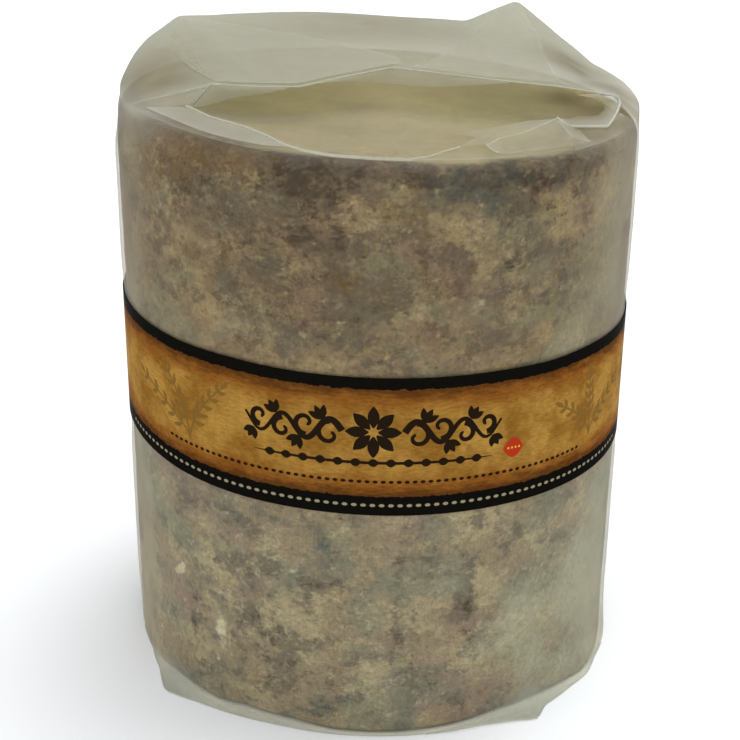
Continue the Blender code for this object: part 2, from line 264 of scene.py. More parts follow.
# Size and detail of the paper's clouds and fibres
PAPER_GRAINS = ((7.0, 5.0), (1.2, 3.0))
PAPER_CLEAR = "#FCFBF6"
FOLD_COLOUR = "#C8CABA"
GRAZING_POWER = 3.0
GRAZING_HAZE = 0.68
GUSSET_MILK = 0.35
GUSSET_FADE = ((0.95, 0.31), -46.0, -41.5)
FREE_EDGE_RADIUS = 0.15
CREASE_RADIUS = 0.34
BEAD_STEP = 0.8
FOOT_FOLD_FROM = -75
FOOT_FOLD_TO = 70
FOOT_FOLD_LIFT = 0.2
CRUMPLE_LINE_RADIUS = 0.16
CRUMPLE_LINE_MILK = (0.2, 0.5)

# The straps at the front and at the sides, and how the label shines
STRAP_LOW = (4.9, 4.6)
STRAP_HIGH = (2.8, 3.1)
STRAP_TAPER = 75.0
STRAP_LOW_LEAST = 4.0
STRAP_HIGH_MOST = BAND_WIDTH - 2.6
STRAP_COLOUR = "#100F0C"
PARCHMENT = "#835B22"
LABEL_GLOSS = 0.001

# Print on the label, in millimetres along it from the front and up it
SCROLL_MIDDLE = 21.0
SCROLL_PITCH = 11.0
SCROLL_SPAN = (7.0, 30.0)
SCROLL_WAVE = 2.6
PETALS = 8
PETAL_RING = 1.1
RULE_HALF = 28
RULE_LEVEL = 13.4
OVAL_LEVEL = 8.6
STRAP_BEAD_LEVEL = 2.6
LOZENGE = (33.6, 14.4)
SPRIGS = [
    ((-47, 10.0), [(-66, 20), (-55, 25.5), (-37, 25.5)]),
    ((60, 10.5), [(49, 21), (59, 26), (74, 20.5)]),
]

# Light: a white sky, and a broad lamp from above, a little to the right and behind
SKY_LIGHT = 0.99
KEY_LIGHT = 1.3
KEY_SPREAD = 34.0
KEY_FROM = (0.27, 0.26, 1.0)
FLOOR_COLOUR = "#F2F5F8"
FLOOR_HALF = 4000
FLOOR_LEVEL = -0.1  # just under the foot, so that the two aren't in one plane

# Camera: a long lens that looks down a little, at the photograph's angle
CAMERA_AT = (0.0, -370.6, 226.2)
CAMERA_PITCH = 66.93
CAMERA_ROLL = 0.59
CAMERA_YAW = 0.17
CAMERA_LENS = 74.31
SENSOR = 36.0
CAMERA_CLIP = (0.01, 20)

# Sockets of the Mix node that blend two colours, and settings that several nodes share
FACTOR, A, B, RESULT = 0, 6, 7, 2
BLEND = {"data_type": "RGBA"}
TINT = {"data_type": "RGBA", "blend_type": "MULTIPLY"}
SMOOTH = {"interpolation_type": "SMOOTHSTEP"}


def linear(hex_colour):
    """The linear colour that Blender's sockets take, from an sRGB hex value."""
    channels = [int(hex_colour[i : i + 2], 16) / 255 for i in (1, 3, 5)]
    return *[c / 12.92 if c <= 0.04045 else ((c + 0.055) / 1.055) ** 2.4 for c in channels], 1.0


def add(tree, kind, inputs=None, out=0, **settings):
    """Adds a node with its settings and links, and gives one of its outputs. A shader node goes
    by its short name. An input takes a value, or the socket that feeds it."""
    made = tree.nodes.new(kind if "Node" in kind else "ShaderNode" + kind)
    for name, value in settings.items():
        setattr(made, name, value)
    for socket, value in (inputs or {}).items():
        if isinstance(value, bpy.types.NodeSocket):
            tree.links.new(value, made.inputs[socket])
        else:
            made.inputs[socket].default_value = value
    return made.outputs[out] if made.outputs else made


def new_material(name):
    material = bpy.data.materials.new(name)
    material.use_nodes = True
    material.node_tree.nodes.clear()
    return material, material.node_tree


def placed(name, data):
    """A new object in the scene."""
    made = bpy.data.objects.new(name, data)
    bpy.context.scene.collection.objects.link(made)
    return made


def new_piece(name, points, faces, material=None, smooth_angle=None):
    """A mesh object from points in millimetres."""
    mesh = bpy.data.meshes.new(name)
    mesh.from_pydata((np.asarray(points, float) * MM).tolist(), [], [tuple(f) for f in faces])
    mesh.validate()
    piece = placed(name, mesh)
    if material:
        mesh.materials.append(material)
    mesh.shade_smooth()
    if smooth_angle:
        mesh.set_sharp_from_angle(angle=math.radians(smooth_angle))
    return piece


def set_values(piece, name, values):
    """Stores one number for each vertex, for a material to read."""
    attribute = piece.data.attributes.new(name, "FLOAT", "POINT")
    attribute.data.foreach_set("value", np.asarray(values, np.float32))


def set_flat_map(piece, name, places):
    """Stores a place in metres on the flattened surface for each vertex."""
    attribute = piece.data.attributes.new(name, "FLOAT_VECTOR", "POINT")
    attribute.data.foreach_set("vector", (np.asarray(places, np.float32) * MM).ravel())


def on_circle(azimuth, radius):
    angle = np.radians(azimuth)
    return np.stack([radius * np.sin(angle), -radius * np.cos(angle)], -1)


def around_z(points):
    """The azimuth and the radius of each point."""
    x, y = points[:, 0], points[:, 1]
    return np.degrees(np.arctan2(x, -y)), np.hypot(x, y)


def read(table, azimuth):
    """The values of a table of azimuths, straight between its rows."""
    turns, *columns = np.array(table, float).T
    return np.stack([np.interp(azimuth, turns, column, period=360) for column in columns], -1)


def soften(values, passes):
    """Rounds the corners of values that go once round the cheese."""
    for _ in range(passes):
        values = (np.roll(values, 1, 0) + 2 * values + np.roll(values, -1, 0)) / 4
    return values


def smoothstep(low, high, value):
    t = np.clip((value - low) / (high - low), 0, 1)
    return t * t * (3 - 2 * t)


def between(comes_from, full_from, full_to, gone_at, value):
    """A share that comes in smoothly over the first two values and goes out over the others."""
    return smoothstep(comes_from, full_from, value) * (1 - smoothstep(full_to, gone_at, value))


def ripple(point, size, seed):
    """Smooth noise from -1 to 1 with features of the given size."""
    return noise.noise(Vector(point) / size + Vector((seed * 7.3, seed * 3.1, seed * 5.7)))


def quarter_round(centre_r, centre_z, radius, start, steps):
    angles = np.radians(np.linspace(start, start - 90, steps + 1))
    return [(centre_r + radius * math.cos(a), centre_z + radius * math.sin(a)) for a in angles]


def loft(rings, closed_ring=True, cap_first=None):
    """Points and faces of a grid of rings, with the first ring closed to one point if given."""
    rings = np.asarray(rings, float)
    rows, columns, _ = rings.shape
    points = rings.reshape(-1, 3).tolist()
    faces = []
    last = columns if closed_ring else columns - 1
    for row in range(rows - 1):
        for column in range(last):
            after = (column + 1) % columns
            here, above = row * columns, (row + 1) * columns
            faces.append((here + column, here + after, above + after, above + column))
    if cap_first is not None:
        points.append(cap_first)
        middle = len(points) - 1
        faces += [(middle, (column + 1) % columns, column) for column in range(last)]
    return points, faces


# Mould on the rind: azimuth, height, half width and half height in millimetres, and strength.
# A field is strongest in the middle of its blotches, and its layer's grain breaks up its edge.
BLOTCHES = {
    "shade": [
        (-13, 137, 10, 9, 1.0), (-13, 126, 11, 9, 0.6), (2, 139, 40, 2.5, 0.8),
        (33, 138, 26, 3.0, 0.9), (-45, 134, 22, 7, 0.6), (-70, 130, 22, 10, 0.6),
        (-5, 112, 16, 9, 0.35), (12, 119, 13, 7, 0.3), (-20, 104, 14, 7, 0.3),
        (-30, 122, 8, 9, 0.35), (-27, 27.6, 4, 4, 0.7), (-21, 18, 9, 11, 0.45),
        (-43.5, 20, 2.2, 7, 0.7), (-10.3, 41, 5.5, 1.4, 0.9), (-30, 40, 8, 7, 0.3),
        (-44, 53, 3, 2, 0.5), (-39, 54, 2, 1.6, 0.5), (26.8, 117.8, 2.2, 1.6, 0.8),
        (-46.7, 111.5, 2.2, 2, 0.6), (5.8, 35, 1.6, 14, 0.35), (21, 33, 1.4, 12, 0.5),
        (20, 35, 1.6, 2.4, 0.8), (20, 5, 1.6, 2.4, 0.7), (31, 131, 8, 7, 0.45),
        (-42, 132, 14, 6, 0.7), (44, 133, 11, 5, 0.35), (42, 118, 9, 9, 0.3),
    ],
    "slate": [
        (15, 137, 7, 4, 1.0), (22, 135.5, 6, 6, 1.0), (28, 138, 7, 3.0, 0.9),
        (16, 131.5, 5, 1.1, 0.75), (-31, 111.5, 3, 2, 0.6), (-12.8, 100.5, 7, 3.5, 0.5),
        (-9.9, 49.7, 4.5, 4.5, 0.9), (-27.6, 55, 7, 2, 0.6), (-6.2, 9.5, 3, 3.5, 0.7),
        (-11.8, 6.4, 3.5, 3, 0.7), (4, 56, 8, 3, 0.35), (-43.9, 52.5, 2.2, 1.8, 0.6),
        (36, 122, 9, 12, 0.35), (-20, 118, 12, 9, 0.25), (27, 30, 4, 12, 0.4), (48, 53, 3, 2, 0.6),
        (31, 130, 8, 8, 0.4), (50, 112, 5, 7, 0.4),
    ],
    "straw": [
        (-48.4, 123.5, 3, 7, 0.8), (-43, 115, 4, 5, 0.7), (-34.6, 118, 4, 3.5, 0.7),
        (18.5, 126.5, 5, 4, 0.7), (28, 119, 4.5, 4.5, 0.8), (22.6, 20, 4.5, 5, 0.8),
        (-36, 37, 9, 7, 0.5), (-33, 31, 8, 8, 0.45), (8, 108, 6, 6, 0.5), (-3, 30, 9, 8, 0.3),
        (0, 129, 7, 5, 0.4), (44, 130, 2, 2, 0.4), (21.6, 110.3, 3, 3, 0.8),
        (28.3, 110.4, 2.6, 5.5, 0.8), (44.7, 109, 2.6, 2.6, 0.6), (-17, 30, 7, 7, 0.5),
        (0, 15, 6, 7, 0.5), (-30, 104, 8, 4, 0.5), (-22, 47, 8, 5, 0.4),
    ],
    "tan": [
        (-60, 134, 15, 10, 1.0), (-42, 137, 15, 6, 1.0), (-40, 120, 14, 9, 0.5),
        (-28, 140, 14, 3, 0.8), (-8, 116, 18, 9, 0.4), (4, 130, 11, 5, 0.5),
        (-56, 108, 10, 12, 0.4),
    ],
    "cream": [
        (-48.8, 31.7, 1.8, 1.8, 1.0), (-35.3, 20.2, 4.5, 4.5, 0.8), (43.8, 130, 1.6, 1.4, 0.3),
        (21.6, 110.3, 1.6, 1.8, 0.5), (-17, 44, 2.2, 2.2, 0.4), (-38, 14, 2, 3, 0.5),
    ],
    # Pale bloom is real mould, and its tall strips near both silhouettes also paint the milky
    # grazing sheen there
    "bloom_and_painted_sheen": [
        (48.6, 97, 16, 9, 0.8), (57, 20, 20, 30, 1.0), (40, 26, 20, 26, 0.65),
        (-33.7, 102, 14, 8, 0.45), (17, 40, 14, 20, 0.35), (56, 118, 12, 26, 0.9),
        (36, 20, 14, 16, 1.0), (-64, 100, 8, 60, 0.5), (30, 104, 16, 5, 0.5), (-62, 40, 8, 36, 0.5),
        (14, 104, 9, 7, 0.5),
    ],
}
BLOTCH_WARP = 2.2
BLOTCH_FALL = 0.8
UNSEEN_COUNT = 26
# The ranges of an unseen blotch's azimuth, height, half width, half height and strength
UNSEEN_SPANS = ((72, 288), (4, 138), (2.4, 11.2), (2.4, 11.2), (0.32, 0.8))
UNSEEN_SEED = 11

# How finely the rind is turned, and how far out from the middle it starts to settle
RIND_COLUMNS = 400
RIND_SIDE_ROWS = 150
RIND_TOP_ROWS = 40
RIND_BASE_RADII = (52, 36, 20, 6)
SETTLE_FROM = 40
SETTLE_FULL = 58
# Its swells: depth, waves round it, waves up it and phase; and its crust: depth, size and seed
SWELLS = ((0.12, 3, 4.1, 0), (0.06, 7, -9, 1))
CRUSTS = ((0.07, 9, 1), (0.05, 2.5, 2))
TOP_DISH = 0.15

# Layers of the rind from the cloth outwards: colour, field, how far the field pushes it, size
# of its grain in millimetres and the grain's roughness, where the layer begins and is full, and
# how much of what is under it the full layer covers
RIND_LAYERS = [
    ("#958565", "straw", 0.22, 10.0, 0.70, 0.48, 0.60, 0.80),
    ("#766056", "shade", 0.05, 17.0, 0.62, 0.50, 0.62, 0.55),
    ("#6E6D59", "bloom_and_painted_sheen", 0.06, 13.5, 0.60, 0.51, 0.60, 0.60),
    ("#5F5446", "shade", 0.20, 6.5, 0.74, 0.51, 0.62, 0.80),
    ("#575449", "slate", 0.14, 12.0, 0.66, 0.52, 0.66, 0.55),
    ("#3A2C1E", "shade", 0.24, 3.0, 0.78, 0.59, 0.74, 0.80),
    ("#454B48", "slate", 0.34, 3.2, 0.78, 0.62, 0.92, 0.80),
    ("#78603B", "tan", 0.45, 6.0, 0.70, 0.60, 0.92, 0.60),
    ("#A4977A", "straw", 0.14, 2.2, 0.78, 0.56, 0.68, 0.60),
    ("#3F3428", "shade", 0.08, 1.3, 0.78, 0.55, 0.69, 0.65),
    ("#B7A987", "cream", 0.50, 3.0, 0.66, 0.70, 0.90, 0.85),
    ("#979077", "bloom_and_painted_sheen", 0.46, 12.0, 0.55, 0.62, 0.98, 0.68),
]
RIND_CLOTH = "#806F57"
# The sizes of the top's stains, of the crust's grains and of the cloth's threads
TOP_STAIN_SIZE = 13.0
RIND_GRAINS = (1.6, 0.75)
THREAD_PITCH = 0.9
WAVE_TURN = 0.314  # the Wave node's scale for one thread in each unit of length
MOULD_STRETCH = (0.75, 0.75, 1.0)  # mould spreads along the bandage's turns
RIND_TOP_COLOUR = "#AEA177"
RIND_TOP_STAIN = "#93805C"
# Places on the top in plan, each with a radius and how much of the side's darker mould shows there,
# as painted shade under the flap's hooked right end and over the front
RIND_TOP_PAINTED_SHADE = [((54, -24), 17, 0.70), ((-8, -36), 30, 0.20), ((-24, -36), 13, 0.22)]
# The pale top is painted darker forward of these two depths, as painted shade, and painted lighter
# at these places in plan, each with a radius and a strength, as painted light where the flap stands
# highest
RIND_TOP_FRONT = (-34, -15)
RIND_TOP_FRONT_PAINTED_SHADE = 0.27
RIND_TOP_PAINTED_LIGHT = [((0, -3), 13, 0.36), ((-16, -15), 9, 0.36), ((14, -8), 6, 0.30)]
# Azimuth, then how far out the pale top reaches before the mould begins
RIND_TOP_EDGES = [
    (-180, 60.2), (-88, 59.8), (-68, 57.6), (-35, 57.6), (-15, 58.4), (8, 58.9), (50, 59.2),
    (85, 60.2),
]
EDGE_RAGGED = 1.5
EDGE_SOFT = 1.2
# The rind is browner above the band: height, then share of the light it gives back
RIND_TONE = [(0, 1.47), (40, 1.44), (58, 1.40), (94, 1.03), (112, 0.91),
             (137, 0.97), (140, 0.74), (146, 0.56)]
# Its tint under the band and above it, and the heights between which one turns into the other
RIND_TINTS = ("#EDF6FF", "#FFFBF4")
RIND_TINT_HEIGHTS = (50, 110)


def blotch_field(places, blotches):
    """How strongly a list of blotches marks each place (azimuth, height) on the side."""
    field = np.zeros(len(places))
    for azimuth, height, half_width, half_height, strength in blotches:
        across = np.radians((places[:, 0] - azimuth + 180) % 360 - 180) * RIND_RADIUS
        off = (across / half_width) ** 2 + ((places[:, 1] - height) / half_height) ** 2
        field = np.maximum(field, strength * np.exp(-BLOTCH_FALL * off))
    return field


def unseen_blotches(seed):
    """Blotches for the side that the photograph doesn't show."""
    draw = np.random.default_rng(seed)
    return [[draw.uniform(*span) for span in UNSEEN_SPANS] for _ in range(UNSEEN_COUNT)]


def drawn_in(azimuth, level):
    """How far the left part of the rim leans inwards."""
    at_left = max(0, -math.sin(math.radians(azimuth))) ** 4
    return RIM_DRAWN_IN * at_left * between(*RIM_HEIGHTS, level)


def rind_settle(points):
    """Moves points of the turned cheese to where the pressed, bandaged and aged one has them."""
    settled = []
    for x, y, z in points:
        radius = math.hypot(x, y)
        up = (z - RIND_FOOT) / (RIND_TOP - RIND_FOOT)
        azimuth = math.atan2(x, -y)
        grown = 1.0
        if radius > SETTLE_FROM:
            swell = sum(
                depth * math.sin(turns * azimuth + climb * up + phase)
                for depth, turns, climb, phase in SWELLS)
            crust = sum(depth * ripple((x, y, z), size, seed) for depth, size, seed in CRUSTS)
            foot = max(0, 1 - z / FOOT_BULGE_HEIGHT) ** 2
            foot *= float(read(FOOT_BULGES, math.degrees(azimuth))[0])
            moved = swell + crust + foot - drawn_in(math.degrees(azimuth), z)
            grown += moved / radius * smoothstep(SETTLE_FROM, SETTLE_FULL, radius)
        dish = TOP_DISH * ripple((x, y, z), 18, 3) - TOP_DISH if up > 0.99 else 0
        settled.append((x * grown, y * grown, z - TOP_SLOPE * x * max(0, up) ** 2 + dish))
    return settled


def bandaged_rind(material):
    """The cheese: a finely turned body whose mould and cloth are in its material."""
    side = np.linspace(RIND_TOP - RIND_TOP_ROUND, RIND_FOOT + RIND_FOOT_ROUND, RIND_SIDE_ROWS)
    flat_top = RIND_RADIUS - RIND_TOP_ROUND
    profile = [(r, RIND_TOP) for r in np.linspace(3, flat_top - 0.8, RIND_TOP_ROWS)]
    profile += quarter_round(flat_top, side[0], RIND_TOP_ROUND, 90, 8)
    profile += [(RIND_RADIUS, z) for z in side[1:-1]]
    profile += quarter_round(RIND_RADIUS - RIND_FOOT_ROUND, side[-1], RIND_FOOT_ROUND, 0, 4)
    profile += [(r, RIND_FOOT) for r in RIND_BASE_RADII]
    columns = RIND_COLUMNS
    azimuths = np.arange(columns) * 360 / columns - 180
    rings = [
        np.column_stack([on_circle(azimuths, radius), np.full(columns, height)])
        for radius, height in profile[::-1]
    ]
    points, faces = loft(rings, cap_first=(0, 0, RIND_FOOT))
    points.append((0, 0, RIND_TOP))
    above = (len(profile) - 1) * columns
    faces += [(above + c, above + (c + 1) % columns, len(points) - 1) for c in range(columns)]
    piece = new_piece("bandaged_rind", rind_settle(points), faces, material)

    flat = np.array(points)
    heights = flat[:, 2]
    around, radius = around_z(flat)
    warp = np.array([[ripple(p, 7, 6), ripple(p, 7, 7), ripple(p, 3, 8)] for p in points])
    shift = BLOTCH_WARP * (warp[:, :2] + 0.5 * warp[:, 2:])
    turned = around + np.degrees(shift[:, 0] / RIND_RADIUS)
    places = np.column_stack([turned, heights + shift[:, 1]])
    for seed, (name, blotches) in enumerate(BLOTCHES.items(), UNSEEN_SEED):
        set_values(piece, name, blotch_field(places, blotches + unseen_blotches(seed)))
    off_edge = radius + EDGE_RAGGED * warp[:, 0] - read(RIND_TOP_EDGES, around)[:, 0]
    on_top = smoothstep(RIND_TOP - 0.9, RIND_TOP - 0.1, heights)
    on_top *= 1 - smoothstep(-EDGE_SOFT, EDGE_SOFT, off_edge)
    # The pale top gives way to darker mould at those places, which paints shade on the top
    set_values(piece, "top_face_with_painted_shade", on_top * (1 - near_places(flat, RIND_TOP_PAINTED_SHADE)))
    tone = np.interp(heights, *np.array(RIND_TONE).T)
    # On the top the tone holds painted shade at the front and painted light under the raised flap
    front = 1 - smoothstep(*RIND_TOP_FRONT, flat[:, 1])
    top_painted_light = 1 - RIND_TOP_FRONT_PAINTED_SHADE * front + near_places(flat, RIND_TOP_PAINTED_LIGHT)
    set_values(piece, "tone", tone + on_top * (top_painted_light - tone))
    set_values(piece, "upper", smoothstep(*RIND_TINT_HEIGHTS, heights))
    unrolled = [np.radians(around) * RIND_RADIUS, heights - radius, radius * 0]
    set_flat_map(piece, "unrolled", np.column_stack(unrolled))
    return piece


def bandaged_rind_finish():
    """Muslin bandage on a natural rind, grown over with grey, brown and cream mould: matt, patchy
    and grainy, with the pale pressed cloth showing between the patches and on the top."""
    material, tree = new_material("mould_grown_muslin_bandage")
    place = add(tree, "TexCoord", out="Object")
    spread = add(tree, "Mapping", {"Vector": place, "Scale": MOULD_STRETCH})
    marks = {
        name: add(tree, "Attribute", out="Fac", attribute_name=name)
        for name in (*BLOTCHES, "tone", "upper", "top_face_with_painted_shade")
    }
    colour = linear(RIND_CLOTH)
    for hex_colour, field, push, size, rough, low, high, share in RIND_LAYERS:
        grain = {"Vector": spread, "Scale": 1 / (size * MM), "Detail": 6.0, "Roughness": rough}
        cloud = add(tree, "TexNoise", grain)
        pushed = add(tree, "Math", {0: marks[field], 1: push, 2: cloud}, operation="MULTIPLY_ADD")
        mask = add(tree, "MapRange", {"Value": pushed, 1: low, 2: high, 3: 0.0, 4: share}, **SMOOTH)
        layer = {FACTOR: mask, A: colour, B: linear(hex_colour)}
        colour = add(tree, "Mix", layer, RESULT, **BLEND)
    under_band, over_band = [linear(tint) for tint in RIND_TINTS]
    tints = {FACTOR: marks["upper"], A: under_band, B: over_band}
    tint = add(tree, "Mix", tints, RESULT, **BLEND)
    colour = add(tree, "Mix", {FACTOR: 1.0, A: colour, B: tint}, RESULT, **TINT)

    # The top is pale under its cloth, with faint brown and pink stains
    grain = {"Vector": place, "Scale": 1 / (TOP_STAIN_SIZE * MM), "Detail": 6.0, "Roughness": 0.6}
    cloud = add(tree, "TexNoise", grain)
    stained = add(tree, "MapRange", {"Value": cloud, 1: 0.46, 2: 0.70, 3: 0.0, 4: 0.55}, **SMOOTH)
    layer = {FACTOR: stained, A: linear(RIND_TOP_COLOUR), B: linear(RIND_TOP_STAIN)}
    pale = add(tree, "Mix", layer, RESULT, **BLEND)
    # The top's share of pale colour is lowered where shade is painted on it
    colour = add(tree, "Mix", {FACTOR: marks["top_face_with_painted_shade"], A: colour, B: pale}, RESULT, **BLEND)
    # The tone darkens the rind above the band, and on the top it holds painted shade and painted
    # light
    colour = add(tree, "Mix", {FACTOR: 1.0, A: colour, B: marks["tone"]}, RESULT, **TINT)

    # Muslin threads are 0.6 mm apart. They are drawn 0.9 mm apart, or they wouldn't show.
    cloth_map = add(tree, "Attribute", out="Vector", attribute_name="unrolled")
    cloth = {"Vector": cloth_map, "Scale": WAVE_TURN / (THREAD_PITCH * MM), "Distortion": 2.5}
    threads = [add(tree, "TexWave", cloth, "Fac", bands_direction=way) for way in ("X", "Y")]
    weave = add(tree, "Math", dict(enumerate(threads)), operation="ADD")
    grain = {"Vector": place, "Detail": 5.0, "Roughness": 0.7}
    crust, fine = [
        add(tree, "TexNoise", {**grain, "Scale": 1 / (size * MM)}) for size in RIND_GRAINS
    ]
    relief = add(tree, "Math", {0: weave, 1: 0.03, 2: crust}, operation="MULTIPLY_ADD")
    for value, low, high, share in ((relief, 0.30, 0.78, 0.17), (fine, 0.34, 0.66, 0.13)):
        spans = {"Value": value, 1: low, 2: high, 3: 1 - share, 4: 1 + share}
        speck = add(tree, "MapRange", spans, **SMOOTH)
        colour = add(tree, "Mix", {FACTOR: 1.0, A: colour, B: speck}, RESULT, **TINT)
    bump = add(tree, "Bump", {"Height": relief, "Strength": 0.38, "Distance": 0.3 * MM})
    coat = {"Base Color": colour, "Roughness": 0.9, "Specular IOR Level": 0.15, "Normal": bump}
    add(tree, "OutputMaterial", {"Surface": add(tree, "BsdfPrincipled", coat)})
    return material


def panel_height(x):
    """The height of the flat front panel at a distance to the right."""
    return TOP - TOP_SLOPE * x + PANEL_RISE


def along(start, end, count):
    """Points from start to end, without the start."""
    return [start + (end - start) * t for t in np.linspace(0, 1, count + 1)[1:]]


def sheet_column(azimuth, foot, ear_curve, shoulder, mouth):
    """The sheet at one azimuth: its points from the floor's fold line to the mouth."""
    out = np.array([*on_circle(azimuth, 1.0), 0.0])
    radius = WRAP_RADIUS - SHEET_INSET
    plane = TOP - TOP_SLOPE * WRAP_RADIUS * out[0]
    column = []
    for step in range(EAR_ROWS + 1):
        level = FOOT_EAR_HEIGHT * (step / EAR_ROWS) ** 1.5
        ear = (foot - WRAP_RADIUS) * (1 - level / FOOT_EAR_HEIGHT) ** ear_curve
        column.append(out * (radius + ear) + (0, 0, level))
    wall_top = out * radius + (0, 0, plane - WALL_TOP)
    column += along(column[-1], wall_top, SIDE_ROWS)
    start = np.array([*on_circle(azimuth, shoulder[0]), TOP + shoulder[1]])
    end = np.array([mouth[0], mouth[1], TOP + mouth[2]])
    bend = out * radius + (0, 0, plane - WALL_BEND)
    if start[2] - plane > RIDGE_FROM:
        bend = (wall_top + start) / 2
    for step in range(1, BEND_ROWS + 1):
        t = step / BEND_ROWS
        column.append(wall_top * (1 - t) ** 2 + bend * 2 * t * (1 - t) + start * t * t)

    if not FRONT_FROM <= azimuth <= FRONT_TO:
        return column + along(start, end, RUN_IN_ROWS + STEP_ROWS + PANEL_ROWS)
    creases = [t for t in (LEFT_CREASE, RIGHT_CREASE) if t[0][0] <= azimuth <= t[-1][0]]
    if creases:
        x, y, rise = read(creases[0], azimuth)
        crease = np.array([x, y, TOP + rise])
    else:
        crease = start + (end - start) / np.linalg.norm(end - start) * RIM_STEP
        crease[2] = panel_height(crease[0])
    run = np.linalg.norm(end - crease)
    flat = crease + (end - crease) / run * min(CREASE_STEP, CREASE_REACH * run)
    flat[2] = panel_height(flat[0])
    panel = along(flat, end, PANEL_ROWS)
    for point in panel[:-1]:
        point[2] = panel_height(point[0])
    return column + along(start, crease, RUN_IN_ROWS) + along(crease, flat, STEP_ROWS) + panel


def wrinkle(point):
    """How far the taut sheet stands off its even surface at a place on the side."""
    x, y, z = point
    cockle = ripple((x, y, z), COCKLE_SIZE, 4)
    crackle = ripple((x, y, z * CRACKLE_STRETCH), CRACKLE_SIZE, 5)
    return WRINKLES * between(*WRINKLE_HEIGHTS, z) * (0.7 * cockle + 0.3 * crackle)


def looseness(azimuth, level):
    """How far the sheet stands out from the cheese's side where no band presses on it."""
    free = between(*LOOSE_HEIGHTS, level) * (1 - between(*BAND_PRESS, level))
    return SHEET_LOOSE * free - drawn_in(azimuth, level)


def wrap_rings():
    """The sheet as rings of points from the middle of the underside to the mouth."""
    azimuths = np.arange(SHEET_COLUMNS) * 360 / SHEET_COLUMNS - 180
    feet = soften(read(FOOT_FOLD, azimuths), 1)[:, 0]
    curves = read(FOOT_EAR_CURVES, azimuths)[:, 0]
    shoulders = soften(read(SHOULDER, azimuths), 2)
    mouths = read(MOUTH, azimuths)
    columns = []
    for azimuth, foot, curve, shoulder, mouth in zip(azimuths, feet, curves, shoulders, mouths):
        column = sheet_column(azimuth, foot, curve, shoulder, mouth)
        out = np.array([*on_circle(azimuth, 1.0), 0.0])
        column = [p + out * (wrinkle(p) + looseness(azimuth, p[2])) for p in column]
        below = [np.array([*on_circle(azimuth, r), 0.0]) for r in UNDERSIDE_RINGS]
        columns.append(below + column)
    return azimuths, np.array(columns).transpose(1, 0, 2)


def near_places(points, places):
    """How near each point is to the places given in plan, from 0 to 1."""
    near = np.zeros(len(points))
    for middle, radius, strength in places:
        off = (((points[:, :2] - middle) / radius) ** 2).sum(axis=1)
        near = np.maximum(near, strength * np.exp(-off))
    return near


def set_paper(piece, points, rind_tree):
    """Stores how milky the paper is, how much painted shade its pulp takes where it is gathered in
    layers, and where it is stained.
    """
    gaps = [rind_tree.find_nearest(Vector(point) * MM)[3] / MM for point in points]
    points = np.array([tuple(point) for point in points])
    azimuth, radius = around_z(points)
    above = smoothstep(*TOP_FOLDS_FROM, points[:, 2])
    milk = np.interp(gaps, MILK_GAPS, MILK_SHARES)
    ragged = np.array([ripple(point, 6, 9) for point in points])
    stained = near_places(points, STAINED) * above
    stained = np.clip(stained * (1 + STAIN_RAGGED * ragged), 0, 1)
    clear = (1 - milk) * (1 - STAIN_MILK * stained)
    for middle, reach, extra in RAISED:
        clear *= 1 - above * near_places(points, [(middle, reach, extra)])
    # Milkier where the paper is loose, and near both silhouettes as painted sheen
    for turn, level, half_turn, half_level, extra in PUFFED_AND_PAINTED_SHEEN:
        off = ((azimuth - turn) / half_turn) ** 2 + ((points[:, 2] - level) / half_level) ** 2
        clear *= 1 - extra * np.exp(-off) * (1 - above)
    wall = smoothstep(*WALL_HEIGHTS, points[:, 2]) * smoothstep(*WALL_RADII, radius)
    clear *= 1 - WALL_MILK * wall * smoothstep(*WALL_DEPTHS, points[:, 1])
    set_values(piece, "milk", np.clip(1 - clear, 0, 1))
    set_values(piece, "layered_shade", smoothstep(*LAYER_GAPS, np.array(gaps)))
    set_values(piece, "stained", stained)


def bvh_of(piece):
    mesh = piece.data
    return BVHTree.FromPolygons(
        [vertex.co for vertex in mesh.vertices],
        [tuple(polygon.vertices) for polygon in mesh.polygons],
    )


def wrap_sheet(material, rind_tree):
    """One thin sheet round the cheese, folded over its top."""
    azimuths, rings = wrap_rings()
    points, faces = loft(rings, cap_first=(0, 0, 0))
    piece = new_piece("wrap_sheet", points, faces, material, smooth_angle=28)
    set_paper(piece, points, rind_tree)
    return piece, azimuths, rings


